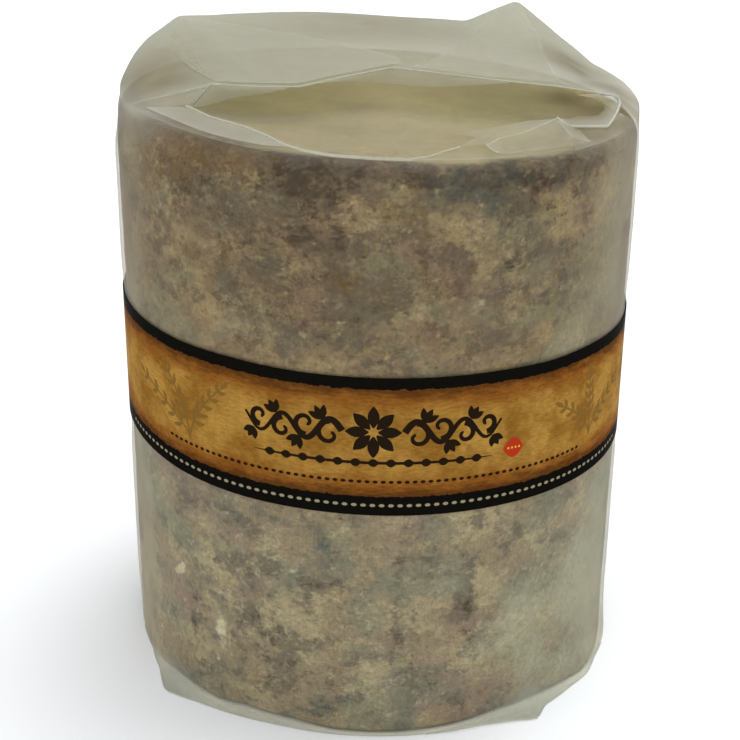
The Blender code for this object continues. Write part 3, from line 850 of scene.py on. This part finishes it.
def greaseproof_finish():
    """Greaseproof paper: thin dense glazed pulp, so it is milky where it stands off what it
    wraps, clear where it touches, and has a satin shine with fine crumpled highlights."""
    material, tree = new_material("greaseproof_paper_glazed")
    place = add(tree, "TexCoord", out="Object")
    grain = {"Vector": place, "Roughness": 0.6}
    cloud, fibre = [
        add(tree, "TexNoise", {**grain, "Scale": 1 / (size * MM), "Detail": detail})
        for size, detail in PAPER_GRAINS
    ]
    milk, layered_shade, stained = [
        add(tree, "Attribute", out="Fac", attribute_name=name)
        for name in ("milk", "layered_shade", "stained")
    ]
    uneven = add(tree, "MapRange", {"Value": cloud, 1: 0.3, 2: 0.7, 3: -0.04, 4: 0.04}, **SMOOTH)
    share = add(tree, "Math", {0: milk, 1: uneven}, operation="ADD", use_clamp=True)
    # Light that grazes the sheet goes through more of it, so it is milkier at the silhouette
    slant = add(tree, "LayerWeight", {"Blend": 0.5}, "Facing")
    haze = add(tree, "Math", {0: slant, 1: GRAZING_POWER}, operation="POWER")
    haze = add(tree, "Math", {0: haze, 1: GRAZING_HAZE}, operation="MULTIPLY")
    clear_part = add(tree, "Math", {0: 1.0, 1: share}, operation="SUBTRACT")
    share = add(tree, "Math", {0: haze, 1: clear_part, 2: share}, operation="MULTIPLY_ADD")
    relief = add(tree, "Math", {0: fibre, 1: 0.25, 2: cloud}, operation="MULTIPLY_ADD")
    bump = add(tree, "Bump", {"Height": relief, "Strength": 0.35, "Distance": 0.4 * MM})
    pulp = linear(PAPER_COLOUR)
    # The pulp is painted darker where the paper is gathered in layers, as painted shade, and browner
    # where stained
    for mask, hex_colour in ((layered_shade, PAPER_LAYERED_SHADE), (stained, PAPER_STAINED)):
        layer = {FACTOR: mask, A: pulp, B: linear(hex_colour)}
        pulp = add(tree, "Mix", layer, RESULT, **BLEND)
    coat = {"Base Color": pulp, "Roughness": 0.45, "Specular IOR Level": 0.3, "Normal": bump}
    front = add(tree, "BsdfPrincipled", coat)
    through = add(tree, "BsdfTranslucent", {"Color": pulp, "Normal": bump})
    clear = add(tree, "BsdfTransparent", {"Color": linear(PAPER_CLEAR)})
    paper = add(tree, "MixShader", {0: PAPER_THROUGH, 1: front, 2: through})
    sheet = add(tree, "MixShader", {0: share, 1: clear, 2: paper})
    add(tree, "OutputMaterial", {"Surface": sheet})
    return material


# Second layers of paper that lie against the flap, as corners seen in plan. The two at the left
# share an edge.
GUSSET_EDGE = [
    (-36.3, -26.8), (-31.5, -28.8), (-26.1, -28.9), (-17.8, -27.2), (-8.9, -21.0), (2.5, -14.3),
]
LEFT_GUSSET = GUSSET_EDGE + [
    (5.3, -11.4), (5.3, -5.2), (1.8, 0.6), (-7.0, 11.8), (-17.4, 22.1), (-28.0, 28.4),
    (-36.8, 31.0), (-46.5, 32.0), (-51.4, 29.5), (-52.5, 22.0), (-51.0, 5.0), (-43.5, -14.0),
]
LOWER_GUSSET = [
    (-47.5, -4.5), (-38.6, -8.8), (-30.5, -6.4), (-18.6, -4.4), (-6.6, -7.5), (4.8, -11.7),
    *GUSSET_EDGE[::-1], (-43.0, -14.0),
]
RIGHT_GUSSET = [
    (8.5, -14.6), (13.7, -17.1), (24.5, -19.9), (41.8, -19.2), (45.6, -18.6), (42.9, -17.0),
    (41.3, -11.9), (40.6, 0.9), (40.7, 7.2), (41.1, 19.2), (39.4, 29.3), (37.5, 43.0), (33.0, 48.1),
    (27.1, 38.8), (19.4, 15.7), (13.0, -5.2),
]
LAYER_GAP = 0.35
LAYER_GRAIN = 1.6
LAYER_ROUNDS = 5
HIGH_ABOVE = 300.0


def height_over(sheet_tree, x, y):
    """The height of the sheet's upper side at a place seen in plan."""
    start = Vector((x, y, HIGH_ABOVE)) * MM
    hit = sheet_tree.ray_cast(start, Vector((0, 0, -1)))[0]
    return hit.z / MM if hit else TOP


def draped(name, corners, milk, sheet_tree, material, fade=None):
    """A second layer of paper that lies on the sheet and has its form. A fade is a direction in
    plan, and from where to where the layer comes in along it, as it hugs the sheet there."""
    flat = bmesh.new()
    flat.faces.new([flat.verts.new((x * MM, y * MM, 0)) for x, y in corners])
    bmesh.ops.triangulate(flat, faces=flat.faces)
    for _ in range(LAYER_ROUNDS):
        long_edges = [e for e in flat.edges if e.calc_length() > LAYER_GRAIN * MM]
        if long_edges:
            bmesh.ops.subdivide_edges(flat, edges=long_edges, cuts=1)
            bmesh.ops.triangulate(flat, faces=flat.faces)
    for vertex in flat.verts:
        top = height_over(sheet_tree, vertex.co.x / MM, vertex.co.y / MM)
        vertex.co.z = (top + LAYER_GAP) * MM
    bmesh.ops.recalc_face_normals(flat, faces=flat.faces)
    if sum(face.normal.z for face in flat.faces) < 0:
        bmesh.ops.reverse_faces(flat, faces=flat.faces)
    mesh = bpy.data.meshes.new(name)
    flat.to_mesh(mesh)
    flat.free()
    mesh.materials.append(material)
    mesh.shade_smooth()
    piece = placed(name, mesh)
    places = np.array([vertex.co.to_2d() / MM for vertex in mesh.vertices])
    shares = np.full(len(places), milk)
    if fade:
        direction, start, end = fade
        shares *= smoothstep(start, end, places @ direction)
    set_values(piece, "milk", shares)
    return piece


def crumple(material):
    """The crushed corner of the front panel, as a few flat facets that meet at creases."""
    names = list(CRUMPLE)
    points = [(x, y, TOP + rise) for x, y, rise, _ in CRUMPLE.values()]
    faces = [[names.index(corner) for corner in facet] for facet in CRUMPLE_FACETS]
    piece = new_piece("crumple", points, faces, material, smooth_angle=12)
    downwards = [polygon for polygon in piece.data.polygons if polygon.normal.z < 0]
    for polygon in downwards:
        polygon.flip()
    set_values(piece, "milk", [corner[3] for corner in CRUMPLE.values()])
    return piece


def evenly(line, count):
    """Points at even steps along a line through the given points."""
    line = np.array(line, float)
    lengths = np.concatenate([[0], np.cumsum(np.linalg.norm(np.diff(line, axis=0), axis=1))])
    steps = np.linspace(0, lengths[-1], count)
    return np.stack([np.interp(steps, lengths, line[:, k]) for k in range(line.shape[1])], -1)


def laid_on(sheet_tree, line):
    """Points of a line in plan, at the height of the sheet below them."""
    return [(x, y, height_over(sheet_tree, x, y) - TOP + LAYER_GAP) for x, y in line]


def doubled_strip(name, edge, other_edge, milk, stained, material, rows=6, columns=40):
    """Paper between two edges, whose heights are over TOP, with the milk at each edge."""
    first, last = evenly(edge, columns), evenly(other_edge, columns)
    rings = [first + (last - first) * t for t in np.linspace(0, 1, rows + 1)]
    rings = [ring + (0, 0, TOP) for ring in rings]
    points, faces = loft(rings, closed_ring=False)
    piece = new_piece(name, points, faces, material, smooth_angle=25)
    if sum(face.normal.z for face in piece.data.polygons) < 0:
        piece.data.flip_normals()
    set_values(piece, "milk", np.repeat(np.linspace(*milk, rows + 1), columns))
    set_values(piece, "stained", np.full(len(points), stained))
    return piece


def new_tree(name, inputs):
    """A Geometry Nodes tree with named inputs, its input sockets and its output node."""
    tree = bpy.data.node_groups.new(name, "GeometryNodeTree")
    tree.interface.new_socket(name="Geometry", in_out="INPUT", socket_type="NodeSocketGeometry")
    for label in inputs:
        tree.interface.new_socket(name=label, in_out="INPUT", socket_type="NodeSocketFloat")
    tree.interface.new_socket(name="Geometry", in_out="OUTPUT", socket_type="NodeSocketGeometry")
    return tree, add(tree, "NodeGroupInput").node.outputs, add(tree, "NodeGroupOutput")


def finish_tree(tree, geometry, result, material):
    real = add(tree, "GeometryNodeRealizeInstances", {"Geometry": geometry})
    painted = add(tree, "GeometryNodeSetMaterial", {"Geometry": real, "Material": material})
    tree.links.new(painted, result.inputs[0])


def grown(name, lines, tree, values, material):
    """Runs a tree on lines of points, and keeps the result as a plain mesh."""
    points, edges = [], []
    for line in lines:
        first = len(points)
        points += [tuple(np.asarray(point) * MM) for point in line]
        edges += [(i, i + 1) for i in range(first, len(points) - 1)]
    mesh = bpy.data.meshes.new(name + "_lines")
    mesh.from_pydata(points, edges, [])
    piece = placed(name, mesh)
    modifier = piece.modifiers.new("grow", "NODES")
    modifier.node_group = tree
    for item in tree.interface.items_tree:
        if item.in_out == "INPUT" and item.name in values:
            modifier[item.identifier] = values[item.name]
    depsgraph = bpy.context.evaluated_depsgraph_get()
    made = bpy.data.meshes.new_from_object(piece.evaluated_get(depsgraph))
    piece.modifiers.clear()
    piece.data = made
    made.name = name
    if not made.materials:
        made.materials.append(material)
    return piece


def edge_tree(material):
    """A thin round bead along each line: the doubled edge of folded paper."""
    tree, given, result = new_tree("folded_edge", ("Radius", "Step"))
    curve = add(tree, "GeometryNodeMeshToCurve", {"Mesh": given["Geometry"]})
    spaced = {"Curve": curve, "Length": given["Step"]}
    even = add(tree, "GeometryNodeResampleCurve", spaced, mode="LENGTH")
    section = {"Resolution": 6, "Radius": given["Radius"]}
    ring = add(tree, "GeometryNodeCurvePrimitiveCircle", section)
    swept = {"Curve": even, "Profile Curve": ring, "Fill Caps": True}
    finish_tree(tree, add(tree, "GeometryNodeCurveToMesh", swept), result, material)
    return tree


def over_top(line):
    return [np.array(point) + (0, 0, TOP) for point in line]


def fold_edges(azimuths, rings, sheet_tree, material):
    """The bright doubled edges of the sheet's folds: the flap's free edge, creases and foot."""
    columns = np.arange(len(azimuths))
    flap = np.concatenate([columns[azimuths >= FRONT_TO], columns[azimuths <= FRONT_FROM]])
    foot = columns[(azimuths > FOOT_FOLD_FROM) & (azimuths < FOOT_FOLD_TO)]
    fold_row = len(UNDERSIDE_RINGS)
    top_row = -(RUN_IN_ROWS + STEP_ROWS + PANEL_ROWS + 1)
    left_crease = [(x, y) for _, x, y, _ in LEFT_CREASE]
    tree = edge_tree(material)
    # The points of each line, its radius, and how white it is at its left and right ends
    made = {
        "free_edge": ([rings[-1][c] for c in flap], FREE_EDGE_RADIUS, (0.5, 0.5)),
        "foot_fold": (
            [rings[fold_row][c] + (0, 0, FOOT_FOLD_LIFT) for c in foot],
            FREE_EDGE_RADIUS,
            (0.5, 0.5),
        ),
        "left_crease": (
            over_top(laid_on(sheet_tree, evenly(left_crease, 40))), CREASE_RADIUS, (0.6, 0.15)
        ),
        "tip_fold": (
            [ring[columns[azimuths == TIP_FOLD][0]] for ring in rings[top_row:]],
            CREASE_RADIUS,
            (0.1, 0.4),
        ),
        "corner_fold": (over_top(CORNER_FOLD), CREASE_RADIUS, (0.5, 0.5)),
        "hem_fold": (over_top(HEM_OUTER), CREASE_RADIUS, (0.6, 0.6)),
    }
    for number, corners in enumerate(CRUMPLE_CREASES, 1):
        line = over_top([CRUMPLE[corner][:3] for corner in corners])
        made["crumple_line_" + str(number)] = (line, CRUMPLE_LINE_RADIUS, CRUMPLE_LINE_MILK)
    pieces = []
    for name, (line, radius, milk) in made.items():
        values = {"Radius": radius * MM, "Step": BEAD_STEP * MM}
        piece = grown(name, [line], tree, values, material)
        across = [vertex.co.x for vertex in piece.data.vertices]
        set_values(piece, "milk", np.interp(across, (min(across), max(across)), milk))
        pieces.append(piece)
    return pieces


def folded_edge_finish():
    """The doubled rim of a fold in glazed paper: two layers deep, so paler and less clear."""
    material, tree = new_material("greaseproof_paper_folded_edge")
    milk = add(tree, "Attribute", out="Fac", attribute_name="milk")
    coat = {"Base Color": linear(FOLD_COLOUR), "Roughness": 0.45, "Alpha": milk}
    add(tree, "OutputMaterial", {"Surface": add(tree, "BsdfPrincipled", coat)})
    return material


def on_band(u, v, proud=0.0):
    """The place on the band of a point that is u along it from the front and v up it."""
    radius = BAND_INNER + BAND_CARD + proud
    azimuth = np.degrees(np.asarray(u, float) / radius)
    place = on_circle(azimuth, radius)
    edges = read(BAND_EDGES, azimuth)
    share = np.asarray(v, float) / BAND_WIDTH
    height = edges[..., 0] * (1 - share) + edges[..., 1] * share - BAND_SLOPE * place[..., 0]
    return np.concatenate([place, height[..., None]], -1)


def printed_band(material):
    """The label: a thin strip of card, whose last stretch lies over its first one behind."""
    turn = 360 + BAND_LAP
    steps = BAND_STEPS
    rows = np.linspace(0, BAND_WIDTH, BAND_ROWS)
    turned = turn * np.arange(steps + 1) / steps
    azimuths = BAND_LAP_FROM + turned
    lift = BAND_LAP_LIFT * smoothstep(turn - BAND_LAP - BAND_LAP_RAMP, turn - BAND_LAP, turned)
    low, high = soften(read(BAND_EDGES, azimuths), 4).T
    section = [(BAND_CARD, v) for v in rows] + [(0.0, v) for v in rows[::-1]]
    rings = []
    for proud, v in section:
        place = on_circle(azimuths, BAND_INNER + proud + lift)
        height = low + (high - low) * v / BAND_WIDTH - BAND_SLOPE * place[:, 0]
        rings.append(np.column_stack([place, height]))
    rings = np.array(rings).transpose(1, 0, 2)
    points, faces = loft(rings)
    count = len(section)
    faces.append(tuple(range(count))[::-1])
    faces.append(tuple(steps * count + i for i in range(count)))
    piece = new_piece("printed_band", points, faces, material, smooth_angle=40)
    turned_out = bmesh.new()
    turned_out.from_mesh(piece.data)
    bmesh.ops.recalc_face_normals(turned_out, faces=turned_out.faces)
    turned_out.to_mesh(piece.data)
    turned_out.free()
    heights = np.tile([v for _, v in section], steps + 1)
    around = (np.repeat(azimuths, count) + 180) % 360 - 180
    side = np.abs(around) / STRAP_TAPER
    lower = STRAP_LOW[0] - (STRAP_LOW[0] - STRAP_LOW[1]) * side**2
    upper = BAND_WIDTH - STRAP_HIGH[0] + (STRAP_HIGH[0] - STRAP_HIGH[1]) * side**2
    set_values(piece, "over_lower_strap", heights - np.maximum(lower, STRAP_LOW_LEAST))
    set_values(piece, "under_upper_strap", np.minimum(upper, STRAP_HIGH_MOST) - heights)
    unrolled = np.radians(around) * BAND_INNER
    set_flat_map(piece, "unrolled", np.column_stack([unrolled, heights, heights * 0]))
    return piece


def printed_band_finish():
    """Semi-gloss label paper, offset printed: a scorched parchment between two near black straps
    whose inner edges are torn, with brown burnt fringes, fibres and fine speckle."""
    material, tree = new_material("label_paper_offset_printed")
    flat_map = add(tree, "Attribute", out="Vector", attribute_name="unrolled")
    stretched = add(tree, "Mapping", {"Vector": flat_map, "Scale": (0.34, 1.0, 1.0)})
    fibre, char, cloud, speck, tear = [
        add(tree, "TexNoise",
            {"Vector": vector, "Scale": 1 / (size * MM), "Detail": detail, "Roughness": rough})
        for vector, size, detail, rough in (
            (stretched, 0.6, 5.0, 0.7), (stretched, 2.6, 6.0, 0.7), (flat_map, 12.0, 5.0, 0.6),
            (flat_map, 0.9, 2.0, 0.5), (flat_map, 2.4, 6.0, 0.7))
    ]
    edges = [
        add(tree, "Attribute", out="Fac", attribute_name=name)
        for name in ("over_lower_strap", "under_upper_strap")
    ]
    to_strap = add(tree, "Math", dict(enumerate(edges)), operation="MINIMUM")
    scorch, torn = [
        add(tree, "Math", {0: grain, 1: -reach, 2: to_strap}, operation="MULTIPLY_ADD")
        for grain, reach in ((char, 9.0), (tear, 2.0))
    ]
    colour = linear(PARCHMENT)
    # From the parchment's paler clouds to the straps: colour, what places it, and its range
    for hex_colour, value, low, high, at_low, at_high in (
        ("#A8803C", cloud, 0.35, 0.65, 0.0, 1.0),
        ("#7E4A1A", scorch, -2.6, 2.6, 0.85, 0.0),
        ("#482A12", scorch, -4.4, -1.4, 0.80, 0.0),
        ("#6A4019", speck, 0.66, 0.72, 0.0, 0.5),
        (STRAP_COLOUR, torn, -1.12, -0.98, 1.0, 0.0),
    ):
        spans = {"Value": value, 1: low, 2: high, 3: at_low, 4: at_high}
        mask = add(tree, "MapRange", spans, **SMOOTH)
        layer = {FACTOR: mask, A: colour, B: linear(hex_colour)}
        colour = add(tree, "Mix", layer, RESULT, **BLEND)
    streak = add(tree, "MapRange", {"Value": fibre, 1: 0.3, 2: 0.7, 3: 0.78, 4: 1.16}, **SMOOTH)
    colour = add(tree, "Mix", {FACTOR: 1.0, A: colour, B: streak}, RESULT, **TINT)
    bump = add(tree, "Bump", {"Height": fibre, "Strength": 0.15, "Distance": 0.1 * MM})
    coat = {"Base Color": colour, "Roughness": 0.38, "Normal": bump}
    coat["Specular IOR Level"] = LABEL_GLOSS
    add(tree, "OutputMaterial", {"Surface": add(tree, "BsdfPrincipled", coat)})
    return material


def ribbon(path, widths):
    """A flat strip along a path on the unrolled band, as its two edges."""
    path = np.array(path, float)
    run = np.gradient(path, axis=0)
    across = np.stack([-run[:, 1], run[:, 0]], -1) / np.linalg.norm(run, axis=1)[:, None]
    half = np.asarray(widths)[:, None] / 2
    return path + across * half, path - across * half


def leaf(u, v, angle, length, width, bow=0.0):
    """A pointed leaf from its stalk end, in the direction of an angle in degrees."""
    t = np.linspace(0, 1, 9)
    cos, sin = math.cos(math.radians(angle)), math.sin(math.radians(angle))
    ahead, aside = t * length, bow * length * np.sin(math.pi * t)
    path = np.stack([u + ahead * cos - aside * sin, v + ahead * sin + aside * cos], -1)
    return ribbon(path, width * np.sin(math.pi * np.clip(t, 0.03, 0.98)) ** 0.8)


def curl(u, v, radius, start, turns, width):
    """A spiral that closes in on its middle, from a start angle in degrees."""
    t = np.linspace(0, 1, 26)
    angle = np.radians(start) + 2 * math.pi * turns * t
    reach = radius * (1 - 0.85 * t)
    path = np.stack([u + reach * np.cos(angle), v + reach * np.sin(angle)], -1)
    return ribbon(path, width * (1 - 0.5 * t))


def print_on_band(name, strips, material):
    """Ink on the band from flat strips."""
    points, faces = [], []
    for left, right in strips:
        first = len(points)
        count = len(left)
        for edge in (left, right):
            points += on_band(edge[:, 0], edge[:, 1], PRINT_PROUD).tolist()
        faces += [
            (first + i, first + count + i, first + count + i + 1, first + i + 1)
            for i in range(count - 1)
        ]
    piece = new_piece(name, points, faces, material)
    if sum(face.normal.dot(face.center) for face in piece.data.polygons) < 0:
        piece.data.flip_normals()
    return piece


def scroll_strips():
    """A rosette, with scrolls and leaves at both sides, over a rule with lozenges."""
    middle = SCROLL_MIDDLE
    strips = []
    for angle in range(0, 360, 360 // PETALS):
        u, v = PETAL_RING * math.cos(math.radians(angle)), PETAL_RING * math.sin(math.radians(angle))
        strips.append(leaf(u, middle + v, angle, 5.2, 2.7))
    for side in (-1, 1):
        out = np.linspace(*SCROLL_SPAN, 60)
        wave = middle + SCROLL_WAVE * np.sin((out - out[0]) * 2 * math.pi / SCROLL_PITCH)
        strips.append(ribbon(np.stack([side * out, wave], -1), np.linspace(1.7, 0.6, 60)))
        for k, reach in enumerate(np.arange(9.8, 29, SCROLL_PITCH / 2)):
            up = -1 if k % 2 else 1
            at = side * reach
            turns = -0.9 * up * side
            strips.append(curl(at, middle - up * 1.1, 3.3 - 0.3 * k, 90 * up, turns, 1.4))
            for lean in (25, 60, 95):
                angle = up * (90 - side * (90 - lean))
                strips.append(leaf(at + side * 1.6, middle + up * 2.4, angle, 3.6 - 0.2 * k, 1.6))
    rule = np.linspace(-RULE_HALF, RULE_HALF, 60)
    width = 0.7 * (1 - (rule / 29) ** 4)
    strips.append(ribbon(np.stack([rule, rule * 0 + RULE_LEVEL], -1), width))
    for u in np.arange(-24, 25, 4.0):
        strips.append(leaf(u - 1.3, RULE_LEVEL, 0, 2.6, 2.0))
    return strips


def sprig_strips():
    """Pale sketched sprigs near both ends of the front."""
    strips = []
    for base, tips in SPRIGS:
        for tip_u, tip_v in tips:
            t = np.linspace(0, 1, 20)
            bend = (tip_u - base[0]) * t**1.7
            stem = np.stack([base[0] + bend, base[1] + (tip_v - base[1]) * t], -1)
            strips.append(ribbon(stem, np.full(20, 0.5)))
            run = stem[-1] - stem[-4]
            ahead = math.degrees(math.atan2(run[1], run[0]))
            for k in range(6, 20, 3):
                for side in (-1, 1):
                    angle = ahead + side * 38
                    strips.append(leaf(*stem[k], angle, 4.2 - 0.09 * k, 1.1, side * 0.1))
            strips.append(leaf(*stem[-1], ahead, 3.6, 1.1))
    return strips


def bead_tree(material):
    """Small lozenges laid along a line on the upright band, each turned to face outwards."""
    tree, given, result = new_tree("printed_beads", ("Pitch", "Length", "Height"))
    curve = add(tree, "GeometryNodeMeshToCurve", {"Mesh": given["Geometry"]})
    spaced = {"Curve": curve, "Length": given["Pitch"]}
    even = add(tree, "GeometryNodeCurveToPoints", spaced, mode="LENGTH")
    disc = {"Vertices": 6, "Radius": 0.5}
    disc = add(tree, "GeometryNodeMeshCircle", disc, fill_type="NGON")
    size = add(tree, "CombineXYZ", {"X": given["Length"], "Y": given["Height"], "Z": 1.0})
    place = add(tree, "GeometryNodeInputPosition")
    outward = add(tree, "VectorMath", {0: place, 1: (1, 1, 0)}, operation="MULTIPLY")
    facing = add(tree, "FunctionNodeAlignRotationToVector", {"Vector": outward}, axis="Z")
    along_line = {"Rotation": facing, "Vector": even.node.outputs["Tangent"]}
    turned = add(tree, "FunctionNodeAlignRotationToVector", along_line, axis="X", pivot_axis="Z")
    laid = {"Points": even, "Instance": disc, "Rotation": turned, "Scale": size}
    finish_tree(tree, add(tree, "GeometryNodeInstanceOnPoints", laid), result, material)
    return tree


def bead_row(name, tree, material, ends, level, pitch, length, height):
    u = np.linspace(ends[0], ends[1], 200)
    line = on_band(u, u * 0 + level, PRINT_PROUD)
    values = {"Pitch": pitch * MM, "Length": length * MM, "Height": height * MM}
    return grown(name, [line], tree, values, material)


def ink(name, hex_colour):
    """Printing ink, which takes the label's low shine."""
    material, tree = new_material(name)
    coat = {"Base Color": linear(hex_colour), "Roughness": 0.4, "Specular IOR Level": LABEL_GLOSS}
    add(tree, "OutputMaterial", {"Surface": add(tree, "BsdfPrincipled", coat)})
    return material


def band_print():
    """All that is printed on the label, by the pieces of one ink each."""
    dark = ink("printing_ink_dark_brown", "#21180F")
    sketch = ink("printing_ink_sketch_brown", "#7A5A2A")
    beige = ink("printing_ink_beige", "#8F876C")
    red = ink("printing_ink_dull_red", "#A8321C")
    gold = ink("printing_ink_gold_yellow", "#D9A93B")
    tree = bead_tree(beige)
    small_tree = bead_tree(dark)
    middle_u, middle_v = LOZENGE
    return [
        print_on_band("printed_scrolls", scroll_strips(), dark),
        print_on_band("printed_sprigs", sprig_strips(), sketch),
        print_on_band("printed_lozenge", [leaf(middle_u - 2.7, middle_v, 0, 5.4, 5.0)], red),
        bead_row("lozenge_dots", bead_tree(gold), gold, (middle_u - 1.4, middle_u + 1.6), middle_v,
                 1.0, 0.6, 0.6),
        bead_row("strap_beads", tree, beige, (-76, 78), STRAP_BEAD_LEVEL, 2.1, 1.4, 0.85),
        bead_row("small_ovals", small_tree, dark, (-54, 55), OVAL_LEVEL, 1.8, 1.25, 0.85),
    ]


def floor_and_light():
    """A white sweep, with broad soft light from above and a little behind."""
    material, tree = new_material("white_paper_sweep")
    coat = {"Base Color": linear(FLOOR_COLOUR), "Roughness": 0.9, "Specular IOR Level": 0.0}
    add(tree, "OutputMaterial", {"Surface": add(tree, "BsdfPrincipled", coat)})
    sides = ((-1, -1), (1, -1), (1, 1), (-1, 1))
    corners = [(x * FLOOR_HALF, y * FLOOR_HALF, FLOOR_LEVEL) for x, y in sides]
    floor = new_piece("floor", corners, [(0, 1, 2, 3)], material)

    world = bpy.data.worlds.new("white_studio")
    bpy.context.scene.world = world
    world.use_nodes = True
    sky = world.node_tree.nodes["Background"].inputs
    sky["Color"].default_value = (1, 1, 1, 1)
    sky["Strength"].default_value = SKY_LIGHT
    lamp = bpy.data.lights.new("soft_key", "SUN")
    lamp.energy = KEY_LIGHT
    lamp.angle = math.radians(KEY_SPREAD)
    placed("soft_key", lamp).rotation_euler = Vector(KEY_FROM).to_track_quat("Z", "Y").to_euler()


def camera():
    """The photograph's point of view."""
    lens = bpy.data.cameras.new("camera")
    lens.lens = CAMERA_LENS
    lens.sensor_width = SENSOR
    lens.clip_start, lens.clip_end = CAMERA_CLIP
    seen_from = placed("camera", lens)
    turn = Matrix.Identity(4)
    for degrees, axis in ((CAMERA_YAW, "Z"), (CAMERA_PITCH, "X"), (CAMERA_ROLL, "Z")):
        turn = turn @ Matrix.Rotation(math.radians(degrees), 4, axis)
    seen_from.matrix_world = Matrix.Translation(Vector(CAMERA_AT) * MM) @ turn
    bpy.context.scene.camera = seen_from


def part_of(piece, replaced=None):
    """Hands a finished piece to the part."""
    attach(piece, "root")
    if replaced:
        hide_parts(replaced)


def main():
    camera()
    floor_and_light()
    bpy.context.scene.view_settings.view_transform = "Standard"

    rind = bandaged_rind(bandaged_rind_finish())
    rind_tree = bvh_of(rind)
    part_of(rind, "cheese_truckle")

    paper = greaseproof_finish()
    wrap, azimuths, rings = wrap_sheet(paper, rind_tree)
    sheet_tree = bvh_of(wrap)
    part_of(wrap, "paper_wrap")
    for name, corners, milk, fade in (
        ("gusset_left", LEFT_GUSSET, GUSSET_MILK, GUSSET_FADE),
        ("gusset_lower", LOWER_GUSSET, GUSSET_MILK, None),
        ("gusset_right", RIGHT_GUSSET, GUSSET_MILK, None),
        ("pleat", PLEAT, PLEAT_MILK, None),
    ):
        part_of(draped(name, corners, milk, sheet_tree, paper, fade))
    part_of(crumple(paper))
    for name, edges, milk, stained in (
        # The linings' stain is painted shade: they hang in the shadow under the flap
        ("lining_left", LINING_LEFT, (0.8, 0.6), 0.4),
        ("lining_right", LINING_RIGHT, (0.8, 0.6), 0.4),
        ("flap_hem", (HEM_OUTER, HEM_INNER), (0.85, 0.3), 0.0),
        ("foot_tuck", (FOOT_TUCK_LOW, FOOT_TUCK_HIGH), (0.5, 0.35), 0.0),
    ):
        part_of(doubled_strip(name, *edges, milk, stained, paper))
    for bead in fold_edges(azimuths, rings, sheet_tree, folded_edge_finish()):
        part_of(bead)

    part_of(printed_band(printed_band_finish()), "label_band")
    for piece in band_print():
        part_of(piece)


main()
